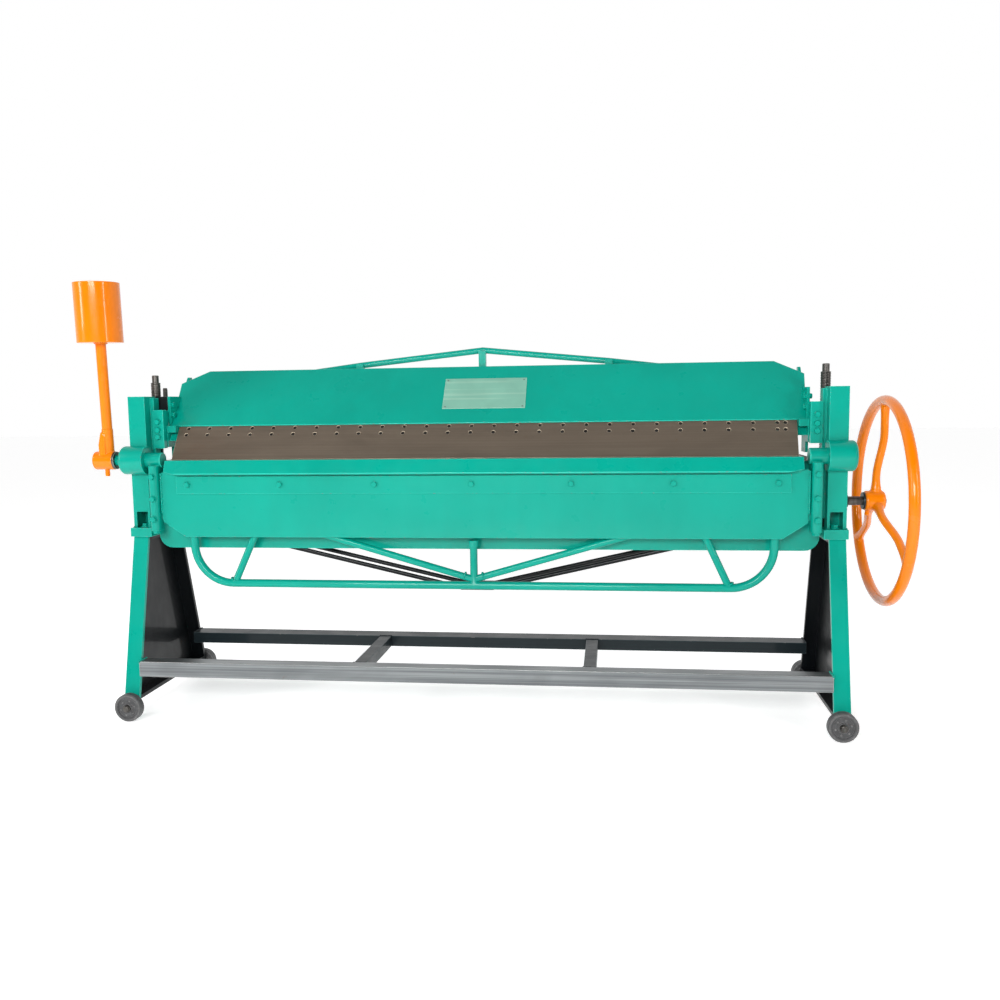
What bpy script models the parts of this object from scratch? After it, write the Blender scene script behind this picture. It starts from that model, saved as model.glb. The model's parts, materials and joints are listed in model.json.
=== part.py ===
"""Sheet metal brake: a hand folding machine, two metres of bed on a wheeled stand.

Metres, +Z up, the operator at -Y. Everything is drawn with X = 0 at mid-length, Y = 0 on the hinge
axis and Z = 0 on the floor. The brake_origin empty then moves it to the middle of its footprint.
"""

import math

import bmesh
import bpy
from mathutils import Matrix, Vector

# Overall
SPAN = 1.100            # half the width between the stand's side frames
HINGE_Z = 0.840         # folding line above the floor
GAP = 0.0003            # left between pieces that touch
RUN = 0.0003            # radial clearance of a turning fit

# Stand
STAND_TOP = HINGE_Z - 0.255
BAR_W = 0.050           # flat bar of the legs
BAR_T = 0.0123          # its thickness, measured level
FRONT_FOOT_Y = -0.1258
REAR_TOP_Y = 0.2427
REAR_FOOT_Y = 0.3943
LEG_FOOT_Z = 0.020
WEB_T = 0.006
SIDE_BAR_T = 0.012      # flat bars along the web's top and foot
WEB_LOW = 0.060
REAR_PLUMB_Z = 0.050    # the rear legs stand plumb below this
REAR_BEND_DROP = 0.002
RAIL_Z = (0.135, 0.185)
FRONT_RAIL_Y = (-0.105, -0.055)
REAR_RAIL_Y = (0.295, 0.365)
RAIL_WALL = 0.004
CROSS_X = 0.3705
CROSS_W = 0.040

# Stand wheels
WHEEL_R = 0.045
WHEEL_X = SPAN + 0.0185
FRONT_WHEEL_Y = (-0.160, -0.131)
REAR_WHEEL_Y = (0.400, 0.427)
AXLE_R = 0.008
WASHER_R = 0.0125

# Posts
FOOT_X = (SPAN - 0.018, SPAN + 0.055)
FOOT_Y = (-0.012, 0.225)
FOOT_T = 0.0294
POST_X = (SPAN - 0.005, SPAN + 0.053)
POST_Y = (0.010, 0.085)
POST_TOP = HINGE_Z + 0.210
POST_WALL = 0.006
GUIDE_X = SPAN - 0.0175
HOUSING_R = 0.047
HOUSING_X = (SPAN - 0.012, SPAN + 0.072)
HOUSING_ROUND = 0.012
PIN_R = 0.025
PIN_IN = SPAN - 0.066
PIN_OUT = SPAN + 0.0555
SHAFT_STUB_R = 0.0175

# Bed
BED_TOP = HINGE_Z - GAP
BED_T = 0.015
BED_Y = (0.002, 0.170)
BED_HALF = SPAN - 0.070
BEAM_Y = (0.0523, 0.160)
BEAM_LOW = HINGE_Z - 0.240
BEAM_HALF = SPAN - 0.0603
BEAM_WALL = 0.005
APRON_BACK_PLATE = (0.040, 0.052)
FRONT_PLATE_HALF = SPAN - 0.020
FRONT_PLATE_LOW = HINGE_Z - 0.2984
FRONT_PLATE_CORNER = 0.045
ROD_R = 0.0075
ROD_LOW = BEAM_LOW - 0.190
ROD_FLAT = 0.050

# Clamping beam, leaning back from the folding line
LEAN = math.radians(40)
BLADE_T = 0.013
BLADE_U = 0.141         # height of the blade along the lean
BLADE_HALF = (SPAN - 0.094, SPAN - 0.085)
FACE_T = 0.008
FACE_PROUD = 0.003
FACE_U = (0.1413, 0.2142, 0.3311, 0.3872)
FACE_HALF = (SPAN - 0.055, SPAN - 0.051, SPAN - 0.042, SPAN - 0.133)
SPINE_BACK = 0.262
SPINE_WALL = 0.006
SPINE_HALF = SPAN - 0.0573
END_X = (SPAN - 0.057, SPAN - 0.048)
SLIDER_X = (SPAN - 0.055, SPAN - 0.018)
SLIDER_Y = (0.035, 0.060)
SLIDER_Z = (HINGE_Z + 0.037, HINGE_Z + 0.165)
TRUSS_R = 0.0105
TRUSS_Y = 0.285

# Lift: handwheel, cross shaft, bevel gears and spindles
SHAFT_Y = 0.110
SHAFT_Z = HINGE_Z - 0.1485
SHAFT_R = 0.0125
SHAFT_OUT_R = 0.014
SPINDLE_X = SPAN + 0.003
SPINDLE_R = 0.016
SPINDLE_TOP = HINGE_Z + 0.257
SPINDLE_TIP = 0.025
BEVEL = (0.0140, 0.0222)
BEVEL_BACK = 0.004
CASE_X = (SPAN - 0.040, SPAN + 0.050)
CASE_Y = (POST_Y[1] + GAP, 0.150)
CASE_Z = (SHAFT_Z - 0.0415, SHAFT_Z + 0.0685)
CASE_WALL = 0.005
NUT_X = (END_X[1] + GAP, SPAN + 0.028)
NUT_Y = (POST_Y[1] + 0.0025, 0.150)
NUT_LOW = HINGE_Z + 0.120
NUT_HIGH = {1: HINGE_Z + 0.163, -1: HINGE_Z + 0.210}
HUB_X = (SPAN + 0.128, SPAN + 0.189)
HUB_R = 0.032
RIM_X = SPAN + 0.1838
RIM_R = 0.3134
RIM_TUBE = 0.0165
SPOKE_R = 0.0115

# Folding beam
APRON_HALF = SPAN - 0.067
APRON_Y = (-0.0215, -0.0135)
APRON_Z = (HINGE_Z - 0.253, HINGE_Z - 0.040)
APRON_CHAMFER = (0.076, 0.050)
NOSE_HALF = SPAN - 0.0855
NOSE_FLAT = 0.030
STRIP_HALF = SPAN - 0.120
STRIP_T = 0.0057
BRACKET_X = (SPAN - 0.060, SPAN - 0.028)
BRACKET_Z = (HINGE_Z - 0.231, HINGE_Z - 0.018)
HANDLE_R = 0.0132
HANDLE_X = SPAN - 0.163
HANDLE_LOW = HINGE_Z - 0.410
HANDLE_BEND = 0.130
ARM_X = SPAN + 0.1222
ARM_R = 0.0165
ARM_LEAN = math.radians(2.2)
WEIGHT_R = 0.0717
WEIGHT_S = (0.3868, 0.5790)

# The world origin: middle of the footprint, on the floor
LEFT_REACH = ARM_X + WEIGHT_R
RIGHT_REACH = RIM_X + RIM_TUBE
ORIGIN = Vector(((LEFT_REACH - RIGHT_REACH) / 2, -SHAFT_Y, 0.0))

SIDES = {"l": -1, "r": 1}
AXES = {"X": Vector((1.0, 0.0, 0.0)), "Y": Vector((0.0, 1.0, 0.0)), "Z": Vector((0.0, 0.0, 1.0))}
# How a shape drawn along its own Z turns to lie along each axis.
TURNS = {
    "X": Matrix(((0, 0, 1), (1, 0, 0), (0, 1, 0))).to_4x4(),
    "Y": Matrix(((1, 0, 0), (0, 0, 1), (0, -1, 0))).to_4x4(),
    "Z": Matrix.Identity(4),
}
WELD = 1e-6             # points this close are one
SMOOTH_UP_TO = math.radians(40)
SLOTS = {
    "green_paint": ((0.0, 0.42, 0.33), 0.0, 0.35),
    "black_paint": ((0.012, 0.016, 0.019), 0.0, 0.45),
    "charcoal_paint": ((0.02, 0.035, 0.04), 0.0, 0.5),
    "orange_paint": ((1.0, 0.27, 0.0), 0.0, 0.35),
    "rail_steel": ((0.3, 0.32, 0.33), 1.0, 0.4),
    "blade_steel": ((0.17, 0.13, 0.095), 0.9, 0.5),
    "dark_steel": ((0.06, 0.06, 0.065), 1.0, 0.35),
    "wheel_polymer": ((0.055, 0.055, 0.055), 0.0, 0.6),
    "label_plate": ((0.26, 0.52, 0.4), 0.0, 0.4),
}


def clear_scene():
    for obj in list(bpy.data.objects):
        bpy.data.objects.remove(obj, do_unlink=True)
    for group in list(bpy.data.collections):
        bpy.data.collections.remove(group)


def collection(name, helper):
    group = bpy.data.collections.new(name)
    bpy.context.scene.collection.children.link(group)
    group.hide_render = helper
    return group


clear_scene()
PARTS = collection("sheet_metal_brake", False)
CUTTERS = collection("cutters", True)


def axis_empty(name, where, parent):
    """An empty that stands on a body's joint axis. Drawn shapes keep machine coordinates."""
    empty = bpy.data.objects.new(name, None)
    PARTS.objects.link(empty)
    empty.empty_display_size = 0.05
    empty.parent = parent
    empty.location = where
    return empty


BRAKE = axis_empty("brake_origin", ORIGIN, None)


def side_x(side, pair):
    """A span of X on one side of the machine, low end first."""
    return tuple(sorted((side * pair[0], side * pair[1])))


def finished_shape(work):
    """The mesh of a bmesh, welded, facing out and smooth where it is round."""
    bmesh.ops.remove_doubles(work, verts=work.verts, dist=WELD)
    bmesh.ops.recalc_face_normals(work, faces=work.faces)
    mesh = bpy.data.meshes.new("shape")
    work.to_mesh(mesh)
    work.free()
    mesh.shade_smooth()
    mesh.set_sharp_from_angle(angle=SMOOTH_UP_TO)
    return mesh


def evaluated_shape(obj):
    """The mesh that a curve or a Screw makes. The object that made it goes."""
    bpy.context.scene.collection.objects.link(obj)
    graph = bpy.context.evaluated_depsgraph_get()
    made = bpy.data.meshes.new_from_object(obj.evaluated_get(graph))
    work = bmesh.new()
    work.from_mesh(made)
    bpy.data.objects.remove(obj)
    bpy.data.meshes.remove(made)
    return finished_shape(work)


def poly_curve(points, dimensions, closed):
    curve = bpy.data.curves.new("path", "CURVE")
    curve.dimensions = dimensions
    spline = curve.splines.new("POLY")
    spline.points.add(len(points) - 1)
    for place, point in zip(spline.points, points):
        place.co = (*point, 1.0)
    spline.use_cyclic_u = closed
    return curve


def prism(axis, span, outline):
    """A flat outline given depth along an axis."""
    up = -1 if axis == "Y" else 1
    curve = poly_curve([(a, up * b, 0.0) for a, b in outline], "2D", True)
    curve.fill_mode = "BOTH"
    curve.extrude = abs(span[1] - span[0]) / 2
    shape = evaluated_shape(bpy.data.objects.new("prism", curve))
    middle = AXES[axis] * (span[0] + span[1]) / 2
    shape.transform(Matrix.Translation(middle) @ TURNS[axis])
    return shape


def box(x, y, z):
    sides = [span[1] - span[0] for span in (x, y, z)]
    middle = [(span[0] + span[1]) / 2 for span in (x, y, z)]
    work = bmesh.new()
    bmesh.ops.create_cube(work, size=1.0, matrix=Matrix.LocRotScale(middle, None, sides))
    return finished_shape(work)


def axis_frame(axis, centre, along=0.0):
    """Puts local Z on an axis through a centre that has its two other coordinates in XYZ order."""
    a, b = centre
    place = {"X": (along, a, b), "Y": (a, along, b), "Z": (a, b, along)}[axis]
    return Matrix.Translation(place) @ TURNS[axis]


def turned(axis, centre, profile, segments=32, ring=False):
    """A profile of (place along the axis, radius) turned once round. A ring's profile is a loop."""
    points = [(radius, 0.0, along) for along, radius in profile]
    if not ring:
        points = [(0.0, 0.0, profile[0][0]), *points, (0.0, 0.0, profile[-1][0])]
    edges = [(i, i + 1) for i in range(len(points) - 1)]
    if ring:
        edges.append((len(points) - 1, 0))
    line = bpy.data.meshes.new("profile")
    line.from_pydata(points, edges, [])
    obj = bpy.data.objects.new("turned", line)
    screw = obj.modifiers.new("turn", "SCREW")
    screw.axis = "Z"
    screw.steps = segments
    screw.render_steps = segments
    shape = evaluated_shape(obj)
    shape.transform(axis_frame(axis, centre))
    return shape


def cylinder(axis, centre, radius, span, segments=32):
    work = bmesh.new()
    bmesh.ops.create_cone(
        work,
        cap_ends=True,
        segments=segments,
        radius1=radius,
        radius2=radius,
        depth=abs(span[1] - span[0]),
        matrix=axis_frame(axis, centre, (span[0] + span[1]) / 2),
    )
    return finished_shape(work)


def bar(points, radius, segments=16):
    """A round bar or tube's outside along a path of points."""
    curve = poly_curve(points, "3D", False)
    curve.bevel_depth = radius
    curve.bevel_resolution = segments // 2 - 2
    curve.use_fill_caps = True
    return evaluated_shape(bpy.data.objects.new("bar", curve))


def leaning_plate(outline, depth):
    """A flat outline of (X, height along the lean), its depth measured out from the clamp's face."""
    shape = prism("Z", depth, outline)
    up = Vector((0.0, math.sin(LEAN), math.cos(LEAN)))
    out = Vector((0.0, -math.cos(LEAN), math.sin(LEAN)))
    turn = Matrix((AXES["X"], up, out)).transposed().to_4x4()
    shape.transform(Matrix.Translation((0.0, 0.0, HINGE_Z)) @ turn)
    return shape


def leaned(mesh, angle):
    """Turns a shape about the hinge axis, its top towards the operator."""
    about = Vector((0.0, 0.0, HINGE_Z))
    mesh.transform(Matrix.Translation(about) @ Matrix.Rotation(angle, 4, "X") @ Matrix.Translation(-about))
    return mesh


def inset(outline, wall):
    """The outline moved inwards by a wall. Its points go anticlockwise."""
    lines = []
    count = len(outline)
    for i in range(count):
        a = Vector(outline[i])
        b = Vector(outline[(i + 1) % count])
        way = (b - a).normalized()
        lines.append((a + wall * Vector((-way.y, way.x)), way))
    inner = []
    for i in range(count):
        p, d = lines[i - 1]
        q, e = lines[i]
        cross = d.x * e.y - d.y * e.x
        t = ((q.x - p.x) * e.y - (q.y - p.y) * e.x) / cross
        inner.append(tuple(p + t * d))
    return inner


def lean_point(u, v):
    """(Y, Z) at height u along the clamping beam's lean and v out from its face."""
    y = u * math.sin(LEAN) - v * math.cos(LEAN)
    z = HINGE_Z + u * math.cos(LEAN) + v * math.sin(LEAN)
    return (y, z)


def finish_object(obj, group, parent):
    group.objects.link(obj)
    obj.parent = parent
    if parent is not BRAKE:
        obj.location = -parent.location


def node(name, slot, shape, parent=None, add=(), cut=()):
    """One piece: its first shape, the shapes joined to it and the shapes taken from it."""
    parent = parent or BRAKE
    obj = bpy.data.objects.new(name, shape)
    shape.name = name
    finish_object(obj, PARTS, parent)
    colour, metallic, roughness = SLOTS[slot]
    paint = bpy.data.materials.new(name + "_material")
    paint.use_nodes = True
    shader = paint.node_tree.nodes["Principled BSDF"]
    shader.inputs["Base Color"].default_value = (*colour, 1.0)
    shader.inputs["Metallic"].default_value = metallic
    shader.inputs["Roughness"].default_value = roughness
    shape.materials.append(paint)
    for kind, shapes in (("UNION", add), ("DIFFERENCE", cut)):
        for i, mesh in enumerate(shapes):
            helper = bpy.data.objects.new(f"{name}_{kind.lower()}_{i}", mesh)
            finish_object(helper, CUTTERS, parent)
            helper.display_type = "WIRE"
            helper.hide_render = True
            step = obj.modifiers.new(f"{kind.lower()}_{i}", "BOOLEAN")
            step.operation = kind
            step.solver = "MANIFOLD"
            step.object = helper
    return obj


def front_leg_y(z):
    """Front face of the front legs at a height."""
    return FRONT_FOOT_Y * (STAND_TOP - z) / (STAND_TOP - LEG_FOOT_Z)


def rear_leg_inner_y(z):
    """Inner face of the rear legs at a height above their plumb foot."""
    bend = REAR_PLUMB_Z - REAR_BEND_DROP
    return REAR_FOOT_Y - BAR_T - (REAR_FOOT_Y - REAR_TOP_Y) * (z - bend) / (STAND_TOP - bend)


def build_stand():
    for tag, side in SIDES.items():
        x = side_x(side, (SPAN, SPAN + BAR_W))
        leg = [
            (front_leg_y(STAND_TOP), STAND_TOP),
            (front_leg_y(LEG_FOOT_Z), LEG_FOOT_Z),
            (front_leg_y(LEG_FOOT_Z) + BAR_T, LEG_FOOT_Z),
            (front_leg_y(STAND_TOP) + BAR_T, STAND_TOP),
        ]
        hole = (side * WHEEL_X, WHEEL_R)
        node(
            f"front_leg_{tag}",
            "green_paint",
            prism("X", x, leg),
            cut=[cylinder("Y", hole, AXLE_R + RUN, (FRONT_FOOT_Y - 0.02, FRONT_FOOT_Y + 0.05), 20)],
        )
        start = BAR_T + GAP
        low = WEB_LOW + SIDE_BAR_T
        high = STAND_TOP - SIDE_BAR_T
        outline = [
            (front_leg_y(STAND_TOP) + start, STAND_TOP),
            (front_leg_y(WEB_LOW) + start, WEB_LOW),
            (rear_leg_inner_y(WEB_LOW), WEB_LOW),
            (REAR_FOOT_Y - BAR_T, REAR_PLUMB_Z - REAR_BEND_DROP),
            (REAR_FOOT_Y - BAR_T, LEG_FOOT_Z),
            (REAR_FOOT_Y, LEG_FOOT_Z),
            (REAR_FOOT_Y, REAR_PLUMB_Z),
            (REAR_TOP_Y, STAND_TOP),
        ]
        tray = [
            (front_leg_y(high) - BAR_T, high),
            (front_leg_y(low) - BAR_T, low),
            (rear_leg_inner_y(low), low),
            (rear_leg_inner_y(high), high),
        ]
        tray_x = side_x(side, (SPAN - WEB_T, SPAN + BAR_W - WEB_T))
        node(
            f"side_frame_{tag}",
            "black_paint",
            prism("X", x, outline),
            cut=[
                prism("X", tray_x, tray),
                cylinder("Y", hole, AXLE_R + RUN, (REAR_FOOT_Y - 0.05, REAR_FOOT_Y + 0.02), 20),
            ],
        )
    half = SPAN - GAP
    for name, slot, y in (
        ("front_rail", "rail_steel", FRONT_RAIL_Y),
        ("rear_rail", "charcoal_paint", REAR_RAIL_Y),
    ):
        z = RAIL_Z if name == "front_rail" else (RAIL_Z[0] + 0.010, RAIL_Z[1] - 0.002)
        inner_y = (y[0] + RAIL_WALL, y[1] - RAIL_WALL)
        inner_z = (z[0] + RAIL_WALL, z[1] - RAIL_WALL)
        node(name, slot, box((-half, half), y, z), cut=[box((-half - 0.01, half + 0.01), inner_y, inner_z)])
    z = (RAIL_Z[0] + 0.010, RAIL_Z[1] - 0.002)
    y = (FRONT_RAIL_Y[1] + GAP, REAR_RAIL_Y[0] - GAP)
    for tag, side in SIDES.items():
        x = (side * CROSS_X - CROSS_W / 2, side * CROSS_X + CROSS_W / 2)
        inner_x = (x[0] + RAIL_WALL, x[1] - RAIL_WALL)
        inner_z = (z[0] + RAIL_WALL, z[1] - RAIL_WALL)
        hollow = box(inner_x, (y[0] - 0.01, y[1] + 0.01), inner_z)
        node(f"cross_member_{tag}", "charcoal_paint", box(x, y, z), cut=[hollow])


def build_wheel(name, side, y, outward, leg_face, leg_back):
    """A stand wheel on its own axle bolt. Outward is -1 for a front wheel and 1 for a rear one."""
    centre = (side * WHEEL_X, WHEEL_R)
    near, far = (y[1], y[0]) if outward < 0 else (y[0], y[1])
    axis = axis_empty(f"axis_{name}", (centre[0], (y[0] + y[1]) / 2, centre[1]), BRAKE)
    bore = AXLE_R + RUN
    tread = [
        (y[0], bore),
        (y[0], WHEEL_R - 0.004),
        (y[0] + 0.0012, WHEEL_R - 0.0012),
        (y[0] + 0.004, WHEEL_R),
        (y[1] - 0.004, WHEEL_R),
        (y[1] - 0.0012, WHEEL_R - 0.0012),
        (y[1], WHEEL_R - 0.004),
        (y[1], bore),
    ]
    node(f"wheel_{name}", "wheel_polymer", turned("Y", centre, tread, 48, True), axis)
    steps = [
        (far + outward * 0.006, 0.011),
        (far + outward * (0.0005), WASHER_R),
        (far + outward * (0.0005), AXLE_R),
        (near - outward * 0.0005, AXLE_R),
        (near - outward * 0.0005, WASHER_R),
        (leg_face + outward * GAP, WASHER_R),
        (leg_face + outward * GAP, AXLE_R),
        (leg_back - outward * GAP, AXLE_R),
        (leg_back - outward * GAP, WASHER_R),
        (leg_back - outward * 0.009, WASHER_R),
        (leg_back - outward * 0.009, AXLE_R),
        (leg_back - outward * 0.013, AXLE_R),
    ]
    node(f"axle_{name}", "dark_steel", turned("Y", centre, steps, 24))


def build_wheels():
    for tag, side in SIDES.items():
        face = front_leg_y(WHEEL_R - WASHER_R)
        back = front_leg_y(WHEEL_R + WASHER_R) + BAR_T
        build_wheel(f"front_{tag}", side, FRONT_WHEEL_Y, -1, face, back)
        face = REAR_FOOT_Y
        back = rear_leg_inner_y(WHEEL_R + WASHER_R)
        build_wheel(f"rear_{tag}", side, REAR_WHEEL_Y, 1, face, back)


def build_posts():
    for tag, side in SIDES.items():
        foot_z = (STAND_TOP + GAP, STAND_TOP + GAP + FOOT_T)
        node(f"post_foot_{tag}", "green_paint", box(side_x(side, FOOT_X), FOOT_Y, foot_z))
        x = side_x(side, POST_X)
        low = foot_z[1] + GAP
        hollow_x = (x[0] + POST_WALL, x[1] - POST_WALL)
        hollow_y = (POST_Y[0] + POST_WALL, POST_Y[1] - POST_WALL)
        pocket_x = side_x(side, (SPAN + 0.003, SPAN + 0.042))
        guide = box(
            side_x(side, (GUIDE_X, POST_X[0] + 0.001)),
            (HOUSING_R + 0.001, POST_Y[1]),
            (CASE_Z[0] - 0.005, POST_TOP - 0.005),
        )
        node(
            f"post_{tag}",
            "green_paint",
            box(x, POST_Y, (low, POST_TOP)),
            add=[guide],
            cut=[
                box(hollow_x, hollow_y, (low - 0.01, POST_TOP - POST_WALL)),
                cylinder("X", (0.0, HINGE_Z), HOUSING_R + GAP, side_x(side, (SPAN - 0.03, SPAN + 0.08)), 40),
                box(pocket_x, (POST_Y[0] - 0.01, POST_Y[0] + 0.012), (low - 0.01, low + 0.052)),
            ],
        )
        inner, outer = HOUSING_X
        bore_end = PIN_OUT + 0.002
        outside = [(bore_end, PIN_R + RUN), (inner, PIN_R + RUN), (inner, HOUSING_R)]
        for k in range(5):
            angle = math.pi / 2 * k / 4
            across = HOUSING_R - HOUSING_ROUND + HOUSING_ROUND * math.cos(angle)
            outside.append((outer - HOUSING_ROUND + HOUSING_ROUND * math.sin(angle), across))
        through = side < 0
        if through:
            outside += [(outer, SHAFT_STUB_R + RUN), (bore_end, SHAFT_STUB_R + RUN)]
        outside = [(side * s, r) for s, r in outside]
        shape = turned("X", (0.0, HINGE_Z), outside, 40, through)
        node(f"pivot_housing_{tag}", "green_paint", shape)


def build_bed():
    low = BED_TOP - BED_T
    node("bed_plate", "dark_steel", box((-BED_HALF, BED_HALF), BED_Y, (low, BED_TOP)))
    half = FRONT_PLATE_HALF
    outline = [(half, low - GAP), (-half, low - GAP)]
    for side in (-1, 1):
        for k in range(7):
            angle = math.pi / 2 * (k if side < 0 else 6 - k) / 6
            corner = FRONT_PLATE_CORNER
            x = side * (half - corner + corner * math.cos(angle))
            outline.append((x, FRONT_PLATE_LOW + corner - corner * math.sin(angle)))
    node("bed_front_plate", "green_paint", prism("Y", APRON_BACK_PLATE, outline))
    y = BEAM_Y
    z = (BEAM_LOW, low - GAP)
    inner = box(
        (-SPAN, SPAN),
        (y[0] + BEAM_WALL, y[1] - BEAM_WALL),
        (z[0] + BEAM_WALL, z[1] - BEAM_WALL),
    )
    node("bed_beam", "black_paint", box((-BEAM_HALF, BEAM_HALF), y, z), cut=[inner])
    shelf_z = STAND_TOP + FOOT_T + 2 * GAP
    for tag, side in SIDES.items():
        plate_x = side_x(side, (BEAM_HALF + GAP, BEAM_HALF + 0.0123))
        shelf_x = side_x(side, (BEAM_HALF + 0.010, POST_X[0] - GAP))
        node(
            f"bed_end_{tag}",
            "black_paint",
            box(plate_x, y, (BEAM_LOW, BED_TOP - 0.020)),
            add=[box(shelf_x, y, (shelf_z, CASE_Z[0] - 0.008))],
            cut=[cylinder("X", (SHAFT_Y, SHAFT_Z), SHAFT_R + 0.002, side_x(side, (SPAN - 0.09, SPAN)), 24)],
        )
    run = BEAM_HALF - 0.205
    slope = (BEAM_LOW - 0.008 - ROD_LOW) / (run - ROD_FLAT)
    for name, y0 in (("bed_rod_front", 0.0610), ("bed_rod_back", 0.1500)):
        z_end = ROD_LOW + slope * (run - ROD_FLAT)
        path = [
            (-run, y0, z_end),
            (-ROD_FLAT, y0, ROD_LOW),
            (ROD_FLAT, y0, ROD_LOW),
            (run, y0, z_end),
        ]
        lugs = []
        for side in (-1, 1):
            lug = side_x(side, (run - 0.03, run + 0.03))
            lugs.append(box(lug, (y0 - 0.0070, y0 + 0.0070), (z_end - 0.012, BEAM_LOW - GAP)))
        node(name, "black_paint", bar(path, ROD_R, 12), add=lugs)
    strut = box((-0.021, -0.011), (BEAM_Y[0] + 0.001, BEAM_Y[1] - 0.001), (ROD_LOW + ROD_R + GAP, BEAM_LOW - GAP))
    wide = box((-0.060, 0.060), (BEAM_Y[0] + 0.001, BEAM_Y[1] - 0.001), (BEAM_LOW - 0.012, BEAM_LOW - GAP))
    node("bed_strut", "black_paint", strut, add=[wide])


def build_clamp():
    lift = axis_empty("axis_clamp_beam", (0.0, SHAFT_Y, HINGE_Z), BRAKE)
    thick = BLADE_T / math.cos(LEAN)
    section = [
        (0.0, HINGE_Z),
        lean_point(BLADE_U, 0.0),
        lean_point(BLADE_U, -BLADE_T),
        (thick, HINGE_Z),
    ]
    rise = BLADE_U * math.cos(LEAN)
    blade = prism("X", (-1.0, 1.0), section)
    for vert in blade.vertices:
        up = (vert.co.z - HINGE_Z) / rise
        vert.co.x *= BLADE_HALF[0] + (BLADE_HALF[1] - BLADE_HALF[0]) * up
    node("clamp_blade", "blade_steel", blade, lift)

    outline = [(half, u) for half, u in zip(FACE_HALF, FACE_U)]
    outline += [(-half, u) for half, u in reversed(list(zip(FACE_HALF, FACE_U)))]
    face = leaning_plate(outline, (FACE_PROUD - FACE_T, FACE_PROUD))
    node("clamp_face_plate", "green_paint", face, lift)

    behind = FACE_PROUD - FACE_T - GAP
    crown = lean_point(FACE_U[3] - 0.0152, behind)
    spine = [
        lean_point(0.090, -BLADE_T - GAP),
        (SPINE_BACK, HINGE_Z + 0.095),
        (SPINE_BACK, crown[1]),
        crown,
        lean_point(FACE_U[0], behind),
        lean_point(FACE_U[0], -BLADE_T - GAP),
    ]
    hollow = prism("X", (-SPAN, SPAN), inset(spine, SPINE_WALL))
    node("clamp_spine", "green_paint", prism("X", (-SPINE_HALF, SPINE_HALF), spine), lift, cut=[hollow])

    low = HINGE_Z + 0.245
    reach = SPINE_HALF - 0.093
    path = [
        (-reach, TRUSS_Y, low),
        (-0.43, TRUSS_Y, HINGE_Z + 0.310),
        (0.0, TRUSS_Y, HINGE_Z + 0.354),
        (0.43, TRUSS_Y, HINGE_Z + 0.310),
        (reach, TRUSS_Y, low),
    ]
    blocks = []
    for x in (-reach, -0.43, 0.43, reach):
        top = low if abs(x) > 0.5 else HINGE_Z + 0.310
        blocks.append(box((x - 0.012, x + 0.012), (SPINE_BACK + GAP, TRUSS_Y), (HINGE_Z + 0.215, top + 0.004)))
    blocks.append(box((-0.012, 0.012), (SPINE_BACK + GAP, TRUSS_Y), (HINGE_Z + 0.215, HINGE_Z + 0.350)))
    node("clamp_truss", "green_paint", bar(path, TRUSS_R, 14), lift, add=blocks)

    outline = [(-0.117, 0.201), (0.158, 0.201), (0.158, 0.331), (-0.117, 0.331)]
    label = leaning_plate(outline, (FACE_PROUD + GAP, FACE_PROUD + 0.0015))
    node("rating_plate", "label_plate", label, lift)

    for tag, side in SIDES.items():
        x = side_x(side, END_X)
        h = HINGE_Z
        plate = [
            (0.0603, h + 0.040),
            (0.100, h + 0.040),
            (0.100, h + 0.006),
            (0.160, h + 0.006),
            (0.160, h + 0.080),
            (SPINE_BACK, h + 0.090),
            (SPINE_BACK, crown[1] - 0.004),
            (crown[0] + 0.002, crown[1] - 0.004),
            lean_point(0.283, -0.012),
            (0.170, h + 0.210),
            (0.088, h + 0.210),
            (0.088, h + 0.111),
            (0.0603, h + 0.111),
        ]
        tongue = box(side_x(side, (BLADE_HALF[1] + 0.001, END_X[1] + 0.008)), (0.0620, 0.0860), (h + 0.089, h + 0.111))
        flange = box(side_x(side, (END_X[1] - 0.0005, SLIDER_X[1] - 0.001)), (0.0603, 0.0870), (h + 0.040, h + 0.163))
        slot = [lean_point(u, v) for u, v in ((0.1405, -0.0053), (0.30, -0.0053), (0.30, 0.0033), (0.1405, 0.0033))]
        node(
            f"clamp_end_{tag}",
            "green_paint",
            prism("X", x, plate),
            lift,
            add=[tongue, flange],
            cut=[prism("X", side_x(side, (SPAN - 0.09, SPAN)), slot)],
        )
        node(f"slider_{tag}", "green_paint", box(side_x(side, SLIDER_X), SLIDER_Y, SLIDER_Z), lift)
        bore = cylinder("Z", (side * SPINDLE_X, SHAFT_Y), SPINDLE_R + RUN, (NUT_LOW - 0.01, POST_TOP + 0.01), 32)
        block = box(side_x(side, NUT_X), NUT_Y, (NUT_LOW, NUT_HIGH[side]))
        node(f"lift_nut_{tag}", "black_paint", block, lift, cut=[bore])


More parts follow.
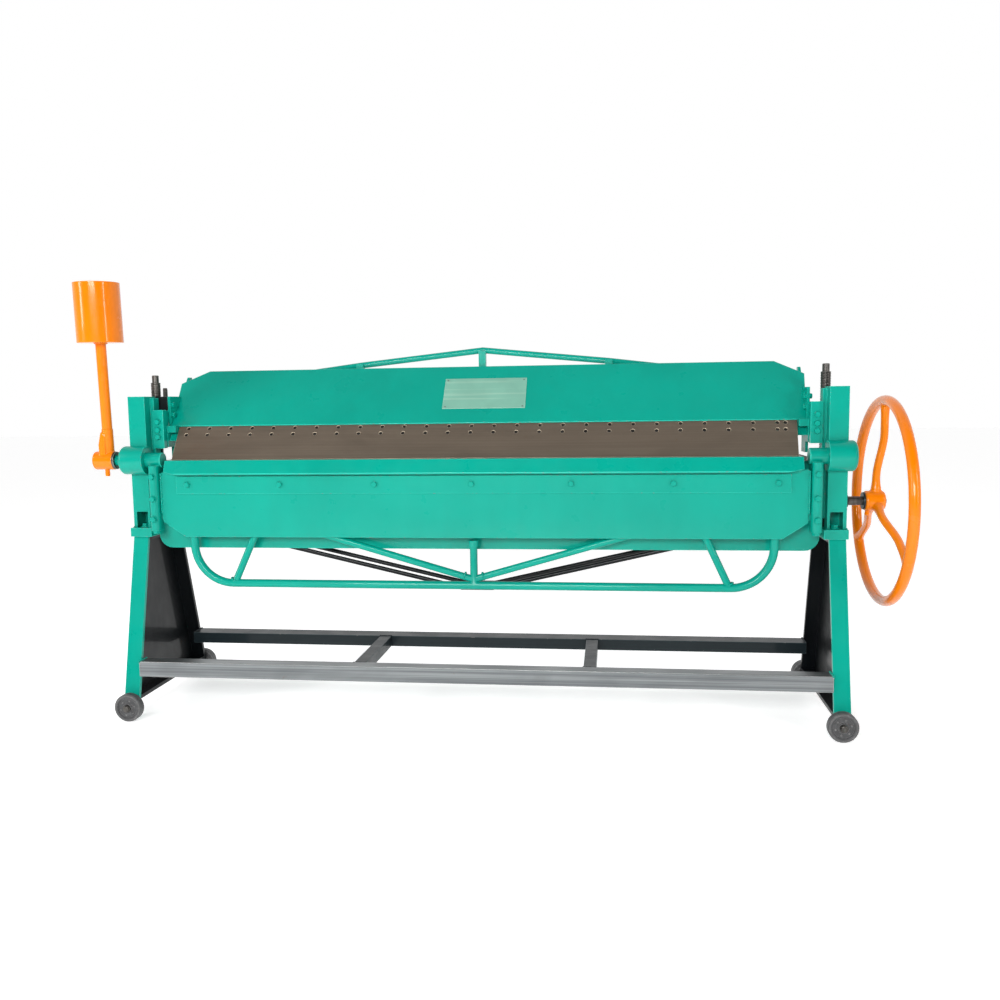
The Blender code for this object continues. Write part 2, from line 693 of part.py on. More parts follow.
def build_lift():
    wheel_axis = axis_empty("axis_handwheel", (RIM_X, SHAFT_Y, SHAFT_Z), BRAKE)
    small, large = BEVEL
    clear = 0.0005
    for tag, side in SIDES.items():
        x = side_x(side, CASE_X)
        inner_x = (x[0] + CASE_WALL, x[1] - CASE_WALL)
        inner = box(
            inner_x,
            (CASE_Y[0] + CASE_WALL, CASE_Y[1] - CASE_WALL),
            (CASE_Z[0] + CASE_WALL, CASE_Z[1] - CASE_WALL),
        )
        gear_room = large + 0.0015
        window = box(
            side_x(side, (SPINDLE_X - gear_room - BEVEL_BACK, SPINDLE_X + gear_room)),
            (CASE_Y[0] - 0.01, CASE_Y[0] + 0.012),
            (SHAFT_Z - gear_room, SHAFT_Z + large + BEVEL_BACK + 0.008),
        )
        shaft_hole = cylinder("X", (SHAFT_Y, SHAFT_Z), SHAFT_R + RUN, side_x(side, (SPAN - 0.06, SPAN + 0.06)), 24)
        spindle_hole = cylinder(
            "Z", (side * SPINDLE_X, SHAFT_Y), SPINDLE_R + RUN, (SHAFT_Z + 0.03, CASE_Z[1] + 0.01), 32
        )
        node(
            f"gear_case_{tag}",
            "black_paint",
            box(x, CASE_Y, CASE_Z),
            cut=[inner, window, shaft_hole, spindle_hole],
        )
        axis = axis_empty(f"axis_spindle_{tag}", (side * SPINDLE_X, SHAFT_Y, HINGE_Z), BRAKE)
        steps = [
            (SHAFT_Z + small, small - clear),
            (SHAFT_Z + large, large - clear),
            (SHAFT_Z + large + BEVEL_BACK, large - clear - 0.002),
            (SHAFT_Z + large + BEVEL_BACK, SPINDLE_R),
            (SPINDLE_TOP, SPINDLE_R),
            (SPINDLE_TOP, 0.011),
            (SPINDLE_TOP + SPINDLE_TIP, 0.011),
        ]
        node(f"spindle_{tag}", "dark_steel", turned("Z", (side * SPINDLE_X, SHAFT_Y), steps, 32), axis)
    apex = SPINDLE_X
    steps = [
        (-(CASE_X[1] - 0.001), SHAFT_R),
        (-(apex - small), SHAFT_R),
        (-(apex - small), small - clear),
        (-(apex - large), large - clear),
        (-(apex - large - BEVEL_BACK), large - clear - 0.002),
        (-(apex - large - BEVEL_BACK), SHAFT_R),
        (apex - large - BEVEL_BACK, SHAFT_R),
        (apex - large - BEVEL_BACK, large - clear - 0.002),
        (apex - large, large - clear),
        (apex - small, small - clear),
        (apex - small, SHAFT_R),
        (CASE_X[1] + 0.0006, SHAFT_R),
        (CASE_X[1] + 0.0006, SHAFT_OUT_R),
        (HUB_X[1] - 0.003, SHAFT_OUT_R),
    ]
    node("cross_shaft", "dark_steel", turned("X", (SHAFT_Y, SHAFT_Z), steps, 28), wheel_axis)
    low = CASE_X[1] + GAP
    plate = POST_X[1] + GAP
    bore = SHAFT_OUT_R + RUN
    steps = [
        (low, bore),
        (low, 0.0235),
        (plate, 0.0235),
        (plate, 0.0465),
        (plate + 0.0115, 0.0465),
        (plate + 0.0115, 0.0225),
        (plate + 0.0230, 0.0215),
        (plate + 0.0230, bore),
    ]
    node("flange_bearing", "charcoal_paint", turned("X", (SHAFT_Y, SHAFT_Z), steps, 40, True))

    rings = []
    for k in range(12):
        angle = 2 * math.pi * k / 12
        rings.append((RIM_X + RIM_TUBE * math.sin(angle), RIM_R + RIM_TUBE * math.cos(angle)))
    hub = [
        (HUB_X[0], SHAFT_OUT_R + GAP),
        (HUB_X[0], HUB_R - 0.002),
        (HUB_X[0] + 0.002, HUB_R),
        (HUB_X[1] - 0.004, HUB_R),
        (HUB_X[1], HUB_R - 0.004),
        (HUB_X[1], SHAFT_OUT_R + GAP),
    ]
    spokes = []
    root = (HUB_X[0] + HUB_X[1]) / 2 + 0.004
    for turn in (90, 210, 330):
        angle = math.radians(turn)
        path = []
        for radius, x in ((0.024, root), (0.060, root), (0.110, root + 0.004), (0.190, RIM_X - 0.004), (RIM_R, RIM_X)):
            path.append((x, SHAFT_Y + radius * math.cos(angle), SHAFT_Z + radius * math.sin(angle)))
        spokes.append(bar(path, SPOKE_R, 12))
    node(
        "handwheel",
        "orange_paint",
        turned("X", (SHAFT_Y, SHAFT_Z), rings, 72, True),
        wheel_axis,
        add=[*spokes, turned("X", (SHAFT_Y, SHAFT_Z), hub, 32, True)],
    )


def build_apron():
    hinge = axis_empty("axis_folding_beam", (0.0, 0.0, HINGE_Z), BRAKE)
    side_cut, low_cut = APRON_CHAMFER
    half = APRON_HALF
    outline = [
        (half, APRON_Z[1]),
        (-half, APRON_Z[1]),
        (-half, APRON_Z[0] + low_cut),
        (-half + side_cut, APRON_Z[0]),
        (half - side_cut, APRON_Z[0]),
        (half, APRON_Z[0] + low_cut),
    ]
    node("apron_plate", "green_paint", prism("Y", APRON_Y, outline), hinge)
    h = HINGE_Z
    front = APRON_Y[0] - GAP
    section = [
        (-GAP, h - 0.0005),
        (-NOSE_FLAT, h - 0.0005),
        (-0.0475, h - 0.043),
        (-0.0460, h - 0.047),
        (front, h - 0.047),
        (front, APRON_Z[1] + GAP),
        (-GAP, APRON_Z[1] + GAP),
    ]
    tapers = []
    for side in (-1, 1):
        wedge = [
            (side * (NOSE_HALF - 0.050), h - 0.0475),
            (side * (NOSE_HALF + 0.002), h - 0.0365),
            (side * (NOSE_HALF + 0.002), h - 0.0600),
            (side * (NOSE_HALF - 0.050), h - 0.0600),
        ]
        tapers.append(prism("Y", (-0.060, front - 0.002), wedge))
    node("apron_nose", "green_paint", prism("X", (-NOSE_HALF, NOSE_HALF), section), hinge, cut=tapers)
    strip_y = (front - STRIP_T, front)
    node("apron_strip", "green_paint", box((-STRIP_HALF, STRIP_HALF), strip_y, (h - 0.110, h - 0.053)), hinge)
    for tag, side in SIDES.items():
        mid = (BRACKET_X[0] + BRACKET_X[1]) / 2
        radius = (BRACKET_X[1] - BRACKET_X[0]) / 2
        outline = [(mid + radius, -0.0052), (mid - radius, -0.0052)]
        for k in range(13):
            angle = math.pi * k / 12
            outline.append((mid - radius * math.cos(angle), -0.026 - radius * math.sin(angle)))
        outline = [(side * x, y) for x, y in outline]
        cradle = box(side_x(side, BRACKET_X), (-0.020, 0.022), (BRACKET_Z[1] - 0.035, h - 0.014))
        flange = box(
            side_x(side, (APRON_HALF - 0.048, BRACKET_X[0] + 0.001)),
            (APRON_Y[1] + GAP, APRON_Y[1] + 0.0083),
            (APRON_Z[0] + low_cut + 0.006, APRON_Z[1] - 0.003),
        )
        seat = cylinder("X", (0.0, h), PIN_R + GAP, side_x(side, (SPAN - 0.09, SPAN)), 40)
        node(
            f"pivot_bracket_{tag}",
            "green_paint",
            prism("Z", BRACKET_Z, outline),
            hinge,
            add=[cradle, flange],
            cut=[seat],
        )
        steps = [(PIN_IN, PIN_R - 0.0015), (PIN_IN + 0.0015, PIN_R), (PIN_OUT, PIN_R)]
        if side < 0:
            steps += [(PIN_OUT, SHAFT_STUB_R), (ARM_X + 0.048, SHAFT_STUB_R)]
        steps = [(side * s, r) for s, r in steps]
        node(f"pivot_pin_{tag}", "green_paint", turned("X", (0.0, h), steps, 40), hinge)
    build_handle(hinge)
    build_counterweight(hinge)


def build_handle(hinge):
    top = APRON_Z[1] - 0.020
    path = [(-HANDLE_X, 0.0, top)]
    for side in (-1, 1):
        centre = (side * (HANDLE_X - HANDLE_BEND), HANDLE_LOW + HANDLE_BEND)
        for k in range(7):
            angle = math.pi / 2 * (k if side < 0 else 6 - k) / 6
            x = centre[0] + side * HANDLE_BEND * math.cos(angle)
            path.append((x, 0.0, centre[1] - HANDLE_BEND * math.sin(angle)))
    path.append((HANDLE_X, 0.0, top))
    braces = []
    low = HANDLE_LOW
    for side in (-1, 1):
        foot = (side * (HANDLE_X - 0.134), 0.0, low)
        head = (side * (HANDLE_X - 0.240), 0.0, APRON_Z[0] + 0.070)
        braces.append(bar([foot, head], 0.0115, 12))
        braces.append(bar([(0.0, 0.0, low + 0.020), (side * 0.540, 0.0, low + 0.1766)], 0.0110, 12))
    braces.append(cylinder("Z", (0.0, 0.0), 0.012, (low, APRON_Z[0] - 0.012), 16))
    braces.append(cylinder("Z", (0.0, 0.0), 0.016, (APRON_Z[0] - 0.030, APRON_Z[0] - 0.010), 16))
    node("handle_frame", "green_paint", bar(path, HANDLE_R, 16), hinge, add=braces)


def build_counterweight(hinge):
    h = HINGE_Z
    x = -ARM_X
    outline = [
        (x - 0.0200, h + 0.010),
        (x + 0.0060, h + 0.010),
        (x + 0.0060, h + 0.0315),
        (x + 0.0220, h + 0.0315),
        (x + 0.0220, h + 0.106),
        (x - 0.0200, h + 0.106),
    ]
    block = leaned(prism("Y", (-0.020, 0.020), outline), ARM_LEAN)
    hub = cylinder("X", (0.0, h), 0.030, (x - 0.046, x + 0.0062), 36)
    seat = cylinder("X", (0.0, h), SHAFT_STUB_R + GAP, (x - 0.06, x + 0.03), 32)
    socket = leaned(cylinder("Z", (x, 0.0), ARM_R + GAP, (h + 0.0335, h + 0.12), 28), ARM_LEAN)
    node("arm_hub", "orange_paint", hub, hinge, add=[block], cut=[seat, socket])
    arm = leaned(cylinder("Z", (x, 0.0), ARM_R, (h + 0.0338, h + WEIGHT_S[1] - 0.004), 28), ARM_LEAN)
    node("counterweight_arm", "orange_paint", arm, hinge)
    low, high = (h + s for s in WEIGHT_S)
    profile = [
        (low, ARM_R + GAP),
        (low, WEIGHT_R - 0.002),
        (low + 0.002, WEIGHT_R),
        (high - 0.002, WEIGHT_R),
        (high, WEIGHT_R - 0.002),
        (high, ARM_R + GAP),
    ]
    weight = leaned(turned("Z", (x, 0.0), profile, 48, True), ARM_LEAN)
    node("counterweight", "orange_paint", weight, hinge)
    collar = [
        (x + 0.0065, SHAFT_STUB_R + GAP),
        (x + 0.0065, 0.0295),
        (x + 0.0282, 0.0295),
        (x + 0.0282, SHAFT_STUB_R + GAP),
    ]
    node("shaft_collar", "dark_steel", turned("X", (0.0, h), collar, 32, True), hinge)


build_stand()
build_wheels()
build_posts()
build_bed()
build_clamp()
build_lift()
build_apron()
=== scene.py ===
"""Looks of the sheet metal brake: paint, steel, screws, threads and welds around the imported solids.

Metres. A point is given as (X from mid-length, Y behind the hinge axis, Z above the floor), and
place() puts it in the world.
"""

import json
import math

import bmesh
import bpy
from mathutils import Matrix, Vector

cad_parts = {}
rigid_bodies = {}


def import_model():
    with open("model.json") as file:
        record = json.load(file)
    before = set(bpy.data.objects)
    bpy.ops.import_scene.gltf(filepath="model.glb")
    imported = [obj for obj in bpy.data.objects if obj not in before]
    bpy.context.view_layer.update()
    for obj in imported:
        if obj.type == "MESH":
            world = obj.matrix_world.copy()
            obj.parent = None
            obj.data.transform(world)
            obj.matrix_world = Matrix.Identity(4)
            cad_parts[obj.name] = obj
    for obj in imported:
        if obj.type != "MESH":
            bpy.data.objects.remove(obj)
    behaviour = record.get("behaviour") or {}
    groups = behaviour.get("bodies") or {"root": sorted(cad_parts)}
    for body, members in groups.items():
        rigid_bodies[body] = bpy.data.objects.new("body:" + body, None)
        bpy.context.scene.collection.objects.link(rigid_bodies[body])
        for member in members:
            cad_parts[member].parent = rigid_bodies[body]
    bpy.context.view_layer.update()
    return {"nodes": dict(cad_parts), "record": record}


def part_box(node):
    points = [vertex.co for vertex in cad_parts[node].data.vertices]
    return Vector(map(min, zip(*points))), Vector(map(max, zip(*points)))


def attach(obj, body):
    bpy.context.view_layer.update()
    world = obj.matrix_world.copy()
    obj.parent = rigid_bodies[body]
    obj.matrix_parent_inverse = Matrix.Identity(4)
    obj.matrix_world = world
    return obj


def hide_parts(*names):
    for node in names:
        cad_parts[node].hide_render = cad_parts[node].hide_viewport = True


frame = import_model()

BODY_OF = {node: body for body, nodes in frame["record"]["behaviour"]["bodies"].items() for node in nodes}
SLOT_OF = {part["node"]: part["material_slot"] for part in frame["record"]["subparts"]}
SIDES = {"l": -1, "r": 1}
X_AXIS = Vector((1.0, 0.0, 0.0))
Y_AXIS = Vector((0.0, 1.0, 0.0))
Z_AXIS = Vector((0.0, 0.0, 1.0))
CLAMP_LEAN = math.radians(40)
ARM_LEAN = math.radians(2.2)
SMOOTH_UP_TO = math.radians(36)
WELD = 2e-5


def middle(node):
    low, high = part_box(node)
    return (low + high) / 2


HINGE_Y = middle("pivot_pin_r").y
HINGE_Z = middle("pivot_pin_r").z
MID_X = middle("bed_plate").x


def place(x, y, z):
    return Vector((MID_X + x, HINGE_Y + y, z))


def on_blade(x, up, out=0.0):
    """A point on the clamp's leaning face: up is measured along the lean and out from the blade."""
    y = up * math.sin(CLAMP_LEAN) - out * math.cos(CLAMP_LEAN)
    z = HINGE_Z + up * math.cos(CLAMP_LEAN) + out * math.sin(CLAMP_LEAN)
    return place(x, y, z)


BLADE_OUT = Vector((0.0, -math.cos(CLAMP_LEAN), math.sin(CLAMP_LEAN)))


# ---------------------------------------------------------------- finishes


class Finish:
    """A material under construction: a Principled shader and the nodes that feed it."""

    def __init__(self, name, metallic, specular=0.5, coat=0.0, coat_roughness=0.1):
        self.material = bpy.data.materials.new(name)
        self.material.use_nodes = True
        self.tree = self.material.node_tree
        self.shader = self.tree.nodes["Principled BSDF"]
        self.shader.inputs["Metallic"].default_value = metallic
        self.shader.inputs["Specular IOR Level"].default_value = specular
        self.shader.inputs["Coat Weight"].default_value = coat
        self.shader.inputs["Coat Roughness"].default_value = coat_roughness
        self.place = self.tree.nodes.new("ShaderNodeTexCoord").outputs["Object"]

    def link(self, out, into):
        self.tree.links.new(out, into)

    def noise(self, scale, detail=3.0, stretch=(1.0, 1.0, 1.0), rough=0.5, warp=0.0):
        mapping = self.tree.nodes.new("ShaderNodeMapping")
        mapping.inputs["Scale"].default_value = stretch
        self.link(self.place, mapping.inputs["Vector"])
        node = self.tree.nodes.new("ShaderNodeTexNoise")
        node.inputs["Scale"].default_value = scale
        node.inputs["Detail"].default_value = detail
        node.inputs["Roughness"].default_value = rough
        node.inputs["Distortion"].default_value = warp
        self.link(mapping.outputs["Vector"], node.inputs["Vector"])
        return node.outputs["Fac"]

    def height(self, low, high):
        """0 at one height above the floor and 1 at another."""
        split = self.tree.nodes.new("ShaderNodeSeparateXYZ")
        self.link(self.place, split.inputs["Vector"])
        return self.span(split.outputs["Z"], low, high, 0.0, 1.0)

    def span(self, value, low, high, to_low, to_high):
        node = self.tree.nodes.new("ShaderNodeMapRange")
        node.inputs["From Min"].default_value = low
        node.inputs["From Max"].default_value = high
        node.inputs["To Min"].default_value = to_low
        node.inputs["To Max"].default_value = to_high
        self.link(value, node.inputs["Value"])
        return node.outputs["Result"]

    def times(self, one, other):
        node = self.tree.nodes.new("ShaderNodeMath")
        node.operation = "MULTIPLY"
        self.link(one, node.inputs[0])
        self.link(other, node.inputs[1])
        return node.outputs["Value"]

    def blend(self, amount, first, second):
        node = self.tree.nodes.new("ShaderNodeMix")
        node.data_type = "RGBA"
        self.link(amount, node.inputs["Factor"])
        for socket, value in ((node.inputs[6], first), (node.inputs[7], second)):
            if isinstance(value, tuple):
                socket.default_value = (*value, 1.0)
            else:
                self.link(value, socket)
        return node.outputs[2]

    def colour(self, out):
        self.link(out, self.shader.inputs["Base Color"])

    def roughness(self, out):
        self.link(out, self.shader.inputs["Roughness"])

    def bump(self, *layers):
        """Each layer is (height output, depth in metres). They add up."""
        below = None
        for height, depth in layers:
            node = self.tree.nodes.new("ShaderNodeBump")
            node.inputs["Strength"].default_value = 1.0
            node.inputs["Distance"].default_value = depth
            self.link(height, node.inputs["Height"])
            if below is not None:
                self.link(below, node.inputs["Normal"])
            below = node.outputs["Normal"]
        self.link(below, self.shader.inputs["Normal"])


def shade(colour, factor):
    return tuple(min(1.0, part * factor) for part in colour)


def paint(name, colour, gloss, undercoat, worn, sheen=0.24):
    """Brushed workshop enamel: soft brush waves, orange peel, slightly darker patches towards the floor and small
    chips.
    """
    finish = Finish(name, 0.0, specular=0.12, coat=sheen, coat_roughness=0.09)
    tone = finish.span(finish.noise(2.6, 4.0, warp=0.4), 0.32, 0.68, 0.0, 1.0)
    body = finish.blend(tone, shade(colour, 0.93), shade(colour, 1.06))
    streak = finish.span(finish.noise(7.0, 3.0, (1.0, 1.0, 0.16)), 0.52, 0.72, 0.0, 0.35)
    body = finish.blend(streak, body, shade(colour, 1.16))
    # slightly darker in patches towards the floor, fading out by 0.55 m
    darker_near_floor = finish.times(finish.height(0.55, 0.0), finish.span(finish.noise(24.0, 5.0), 0.42, 0.75, 0.0, 0.10))
    body = finish.blend(darker_near_floor, body, shade(colour, 0.70))
    mark = finish.span(finish.noise(95.0, 6.0, rough=0.62), 0.735 - worn, 0.750 - worn, 0.0, 1.0)
    body = finish.blend(mark, body, undercoat)
    finish.colour(body)
    finish.roughness(finish.span(finish.noise(16.0, 4.0), 0.3, 0.7, gloss, gloss + 0.13))
    peel = finish.noise(430.0, 2.0)
    waves = finish.noise(11.0, 2.0, (1.0, 1.0, 0.5))
    finish.bump((waves, 0.0035), (peel, 0.00022))
    return finish.material


def steel(name, colour, other, metallic, rough, grain, rust):
    """Bare steel: fine drawn grain along one axis, oil smears and a little brown bloom."""
    finish = Finish(name, metallic, specular=0.5)
    lines = finish.noise(1.0, 3.0, grain)
    body = finish.blend(finish.span(lines, 0.35, 0.66, 0.0, 1.0), colour, other)
    smear = finish.span(finish.noise(5.0, 5.0, (0.7, 2.0, 2.0), warp=0.8), 0.45, 0.72, 0.0, 0.45)
    body = finish.blend(smear, body, shade(colour, 0.72))
    bloom = finish.span(finish.noise(38.0, 6.0, rough=0.65), 0.66, 0.74, 0.0, rust)
    body = finish.blend(bloom, body, (0.16, 0.070, 0.028))
    finish.colour(body)
    finish.roughness(finish.span(finish.noise(9.0, 5.0, (0.6, 1.6, 1.6)), 0.3, 0.7, rough, rough + 0.18))
    finish.bump((lines, 0.00018), (finish.noise(260.0, 3.0), 0.00008))
    return finish.material


def moulded(name, colour):
    """Hard grey wheel polymer with a scuffed tread."""
    finish = Finish(name, 0.0, specular=0.4)
    scuff = finish.span(finish.noise(60.0, 6.0, rough=0.6), 0.50, 0.70, 0.0, 0.6)
    finish.colour(finish.blend(scuff, colour, shade(colour, 2.1)))
    finish.roughness(finish.span(finish.noise(30.0, 4.0), 0.3, 0.7, 0.45, 0.68))
    finish.bump((finish.noise(150.0, 4.0), 0.0006), (finish.noise(700.0, 2.0), 0.0001))
    return finish.material


def plate(name, colour):
    """A blank printed plate: even, satin, a little faded and rubbed."""
    finish = Finish(name, 0.0, specular=0.5)
    fade = finish.span(finish.noise(14.0, 5.0, warp=0.3), 0.35, 0.7, 0.0, 1.0)
    body = finish.blend(fade, shade(colour, 0.95), shade(colour, 1.08))
    rub = finish.span(finish.noise(2.0, 4.0, (1.0, 40.0, 40.0)), 0.58, 0.74, 0.0, 0.25)
    finish.colour(finish.blend(rub, body, (0.60, 0.72, 0.62)))
    finish.roughness(finish.span(finish.noise(22.0, 3.0), 0.3, 0.7, 0.38, 0.52))
    finish.bump((finish.noise(300.0, 2.0), 0.00008))
    return finish.material


TEAL = (0.0, 0.300, 0.225)
ORANGE = (0.80, 0.190, 0.0)
BLACK = (0.0035, 0.0045, 0.0055)
CHARCOAL = (0.008, 0.014, 0.017)
PRIMER = (0.17, 0.24, 0.21)
RAIL_GRAIN = (1.2, 170.0, 170.0)
BLADE_GRAIN = (1.4, 240.0, 240.0)
BAR_GRAIN = (90.0, 90.0, 3.0)
# The edge finishes are lighter than their body finishes: a painted highlight along the rounded edges, with real chips,
# scuffs and rubbing.
FINISHES = {
    "green_paint": paint("green_enamel", TEAL, 0.26, shade(TEAL, 0.62), 0.0),
    "green_paint_edge": paint("green_enamel_edge", (0.020, 0.48, 0.37), 0.26, PRIMER, 0.13),
    "orange_paint": paint("orange_enamel", ORANGE, 0.18, shade(ORANGE, 0.55), 0.0, 0.5),
    "orange_paint_edge": paint("orange_enamel_edge", (0.86, 0.26, 0.02), 0.22, (0.30, 0.13, 0.04), 0.10),
    "black_paint": paint("black_enamel", BLACK, 0.36, (0.05, 0.05, 0.05), 0.0),
    "black_paint_edge": paint("black_enamel_edge", (0.020, 0.026, 0.030), 0.32, (0.16, 0.15, 0.14), 0.10),
    "charcoal_paint": paint("charcoal_enamel", CHARCOAL, 0.40, (0.07, 0.07, 0.07), 0.0),
    "charcoal_paint_edge": paint("charcoal_enamel_edge", (0.04, 0.058, 0.064), 0.36, (0.2, 0.19, 0.18), 0.10),
    "rail_steel": steel("rail_steel", (0.15, 0.16, 0.168), (0.27, 0.285, 0.29), 0.85, 0.30, RAIL_GRAIN, 0.25),
    "rail_steel_edge": steel("rail_steel_edge", (0.50, 0.51, 0.51), (0.62, 0.62, 0.61), 0.9, 0.28, RAIL_GRAIN, 0.1),
    "blade_steel": steel("blade_steel", (0.150, 0.118, 0.088), (0.172, 0.136, 0.102), 0.55, 0.42, BLADE_GRAIN, 0.4),
    "blade_steel_edge": steel("blade_steel_edge", (0.48, 0.40, 0.30), (0.58, 0.49, 0.37), 0.6, 0.34, BLADE_GRAIN, 0.2),
    "dark_steel": steel("dark_steel", (0.070, 0.066, 0.062), (0.13, 0.122, 0.112), 0.9, 0.30, BAR_GRAIN, 0.35),
    "dark_steel_edge": steel("dark_steel_edge", (0.30, 0.28, 0.25), (0.42, 0.39, 0.35), 0.95, 0.26, BAR_GRAIN, 0.2),
    "wheel_polymer": moulded("wheel_polymer", (0.058, 0.058, 0.060)),
    "wheel_polymer_edge": moulded("wheel_polymer_edge", (0.13, 0.13, 0.13)),
    "label_plate": plate("label_plate", (0.180, 0.400, 0.310)),
    "label_plate_edge": plate("label_plate_edge", (0.50, 0.70, 0.58)),
}


# ---------------------------------------------------------------- making pieces


def add_object(name, data):
    obj = bpy.data.objects.new(name, data)
    bpy.context.scene.collection.objects.link(obj)
    return obj


def make_plain(obj):
    """Replaces an object's curve or modifiers by the mesh that they make."""
    bpy.context.view_layer.update()
    graph = bpy.context.evaluated_depsgraph_get()
    mesh = bpy.data.meshes.new_from_object(obj.evaluated_get(graph), preserve_all_data_layers=True, depsgraph=graph)
    name = obj.name
    bpy.data.objects.remove(obj)
    plain = add_object(name, mesh)
    mesh.name = name
    return plain


def tidy_mesh(mesh, weld=WELD):
    work = bmesh.new()
    work.from_mesh(mesh)
    bmesh.ops.remove_doubles(work, verts=work.verts, dist=weld)
    bmesh.ops.recalc_face_normals(work, faces=work.faces)
    work.to_mesh(mesh)
    work.free()


def smooth(mesh, angle=SMOOTH_UP_TO):
    mesh.shade_smooth()
    mesh.set_sharp_from_angle(angle=angle)


def give_finish(obj, finish):
    obj.data.materials.clear()
    obj.data.materials.append(FINISHES[finish])
    # the second slot is the edge tone: lighter than the body as a painted highlight, with real wear
    if finish + "_edge" in FINISHES:
        obj.data.materials.append(FINISHES[finish + "_edge"])


def round_edges(obj, finish, width, segments=2):
    """A small round on each hard edge, in the finish's edge tone: lighter than the body as a painted highlight, with
    real worn chips.
    """
    tidy_mesh(obj.data)
    give_finish(obj, finish)
    for face in obj.data.polygons:
        face.material_index = 0
    if width:
        bevel = obj.modifiers.new("edge", "BEVEL")
        bevel.width = width
        bevel.segments = segments
        bevel.limit_method = "ANGLE"
        bevel.angle_limit = math.radians(38)
        # the rounds take slot 1, the lighter edge tone painted as a highlight
        bevel.material = 1
        bevel.use_clamp_overlap = True
    smooth(obj.data)
    weight = obj.modifiers.new("shading", "WEIGHTED_NORMAL")
    weight.keep_sharp = True
    return make_plain(obj)


def stand_for(obj, *nodes):
    """The piece shows in place of these CAD nodes, on their body."""
    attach(obj, BODY_OF[nodes[0]])
    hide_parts(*nodes)
    return obj


def detail(obj, body, slot):
    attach(obj, body)
    return obj


def copy_of(node):
    """The CAD solid as a new object, with its flat faces whole again."""
    work = bmesh.new()
    work.from_mesh(frame["nodes"][node].data)
    bmesh.ops.remove_doubles(work, verts=work.verts, dist=WELD)
    bmesh.ops.dissolve_limit(work, angle_limit=math.radians(0.6), verts=work.verts, edges=work.edges)
    mesh = bpy.data.meshes.new(node + "_finish")
    work.to_mesh(mesh)
    work.free()
    return add_object(node + "_finish", mesh)


def edged(node, width=0.0014):
    """The CAD solid with its edges rounded."""
    return stand_for(round_edges(copy_of(node), SLOT_OF[node], width), node)


def turned(name, axis, centre, profile, segments=96, ring=False):
    """A profile of (place along the axis, radius) turned once round an axis through a point."""
    points = [(radius, 0.0, along) for along, radius in profile]
    if not ring:
        points = [(0.0, 0.0, profile[0][0]), *points, (0.0, 0.0, profile[-1][0])]
    edges = [(i, i + 1) for i in range(len(points) - 1)]
    if ring:
        edges.append((len(points) - 1, 0))
    line = bpy.data.meshes.new(name)
    line.from_pydata(points, edges, [])
    obj = add_object(name, line)
    screw = obj.modifiers.new("turn", "SCREW")
    screw.steps = segments
    screw.render_steps = segments
    obj = make_plain(obj)
    tidy_mesh(obj.data, 1e-6)
    obj.data.transform(Matrix.Translation(centre) @ Z_AXIS.rotation_difference(axis).to_matrix().to_4x4())
    return obj


def rod(name, points, radius, sides=24, radii=None, closed=False):
    """A round bar along a path of points."""
    curve = bpy.data.curves.new(name, "CURVE")
    curve.dimensions = "3D"
    curve.bevel_depth = radius
    curve.bevel_resolution = sides // 2 - 2
    curve.use_fill_caps = True
    spline = curve.splines.new("POLY")
    spline.points.add(len(points) - 1)
    spline.use_cyclic_u = closed
    for i, point in enumerate(points):
        spline.points[i].co = (*point, 1.0)
        spline.points[i].radius = radii[i] if radii else 1.0
    obj = make_plain(add_object(name, curve))
    tidy_mesh(obj.data, 1e-6)
    return obj


def joined(name, objects):
    """Several meshes as one object."""
    work = bmesh.new()
    for obj in objects:
        work.from_mesh(obj.data)
        bpy.data.objects.remove(obj)
    mesh = bpy.data.meshes.new(name)
    work.to_mesh(mesh)
    work.free()
    return add_object(name, mesh)


def cast(name, objects, grain, passes, strength=0.5):
    """Overlapping shapes run together with filleted roots, as in a casting."""
    obj = joined(name, objects)
    remesh = obj.modifiers.new("cast", "REMESH")
    remesh.mode = "VOXEL"
    remesh.voxel_size = grain
    relax = obj.modifiers.new("fillet", "SMOOTH")
    relax.factor = strength
    relax.iterations = passes
    obj = make_plain(obj)
    obj.data.shade_smooth()
    return obj


def united(name, objects):
    """Overlapping shapes as one welded solid."""
    base = objects[0]
    for i, other in enumerate(objects[1:]):
        step = base.modifiers.new(f"join_{i}", "BOOLEAN")
        step.operation = "UNION"
        step.solver = "EXACT"
        step.object = other
    obj = make_plain(base)
    for other in objects[1:]:
        bpy.data.objects.remove(other)
    obj.name = name
    return obj


def cut(obj, cutter):
    step = obj.modifiers.new("cut", "BOOLEAN")
    step.operation = "DIFFERENCE"
    step.solver = "EXACT"
    step.object = cutter
    plain = make_plain(obj)
    bpy.data.objects.remove(cutter)
    return plain


def arc(centre, along, across, radius, start, end, steps):
    """Points on an arc that starts towards one direction and turns towards another."""
    points = []
    for k in range(steps + 1):
        angle = start + (end - start) * k / steps
        points.append(centre + radius * (math.cos(angle) * along + math.sin(angle) * across))
    return points


# ---------------------------------------------------------------- what repeats


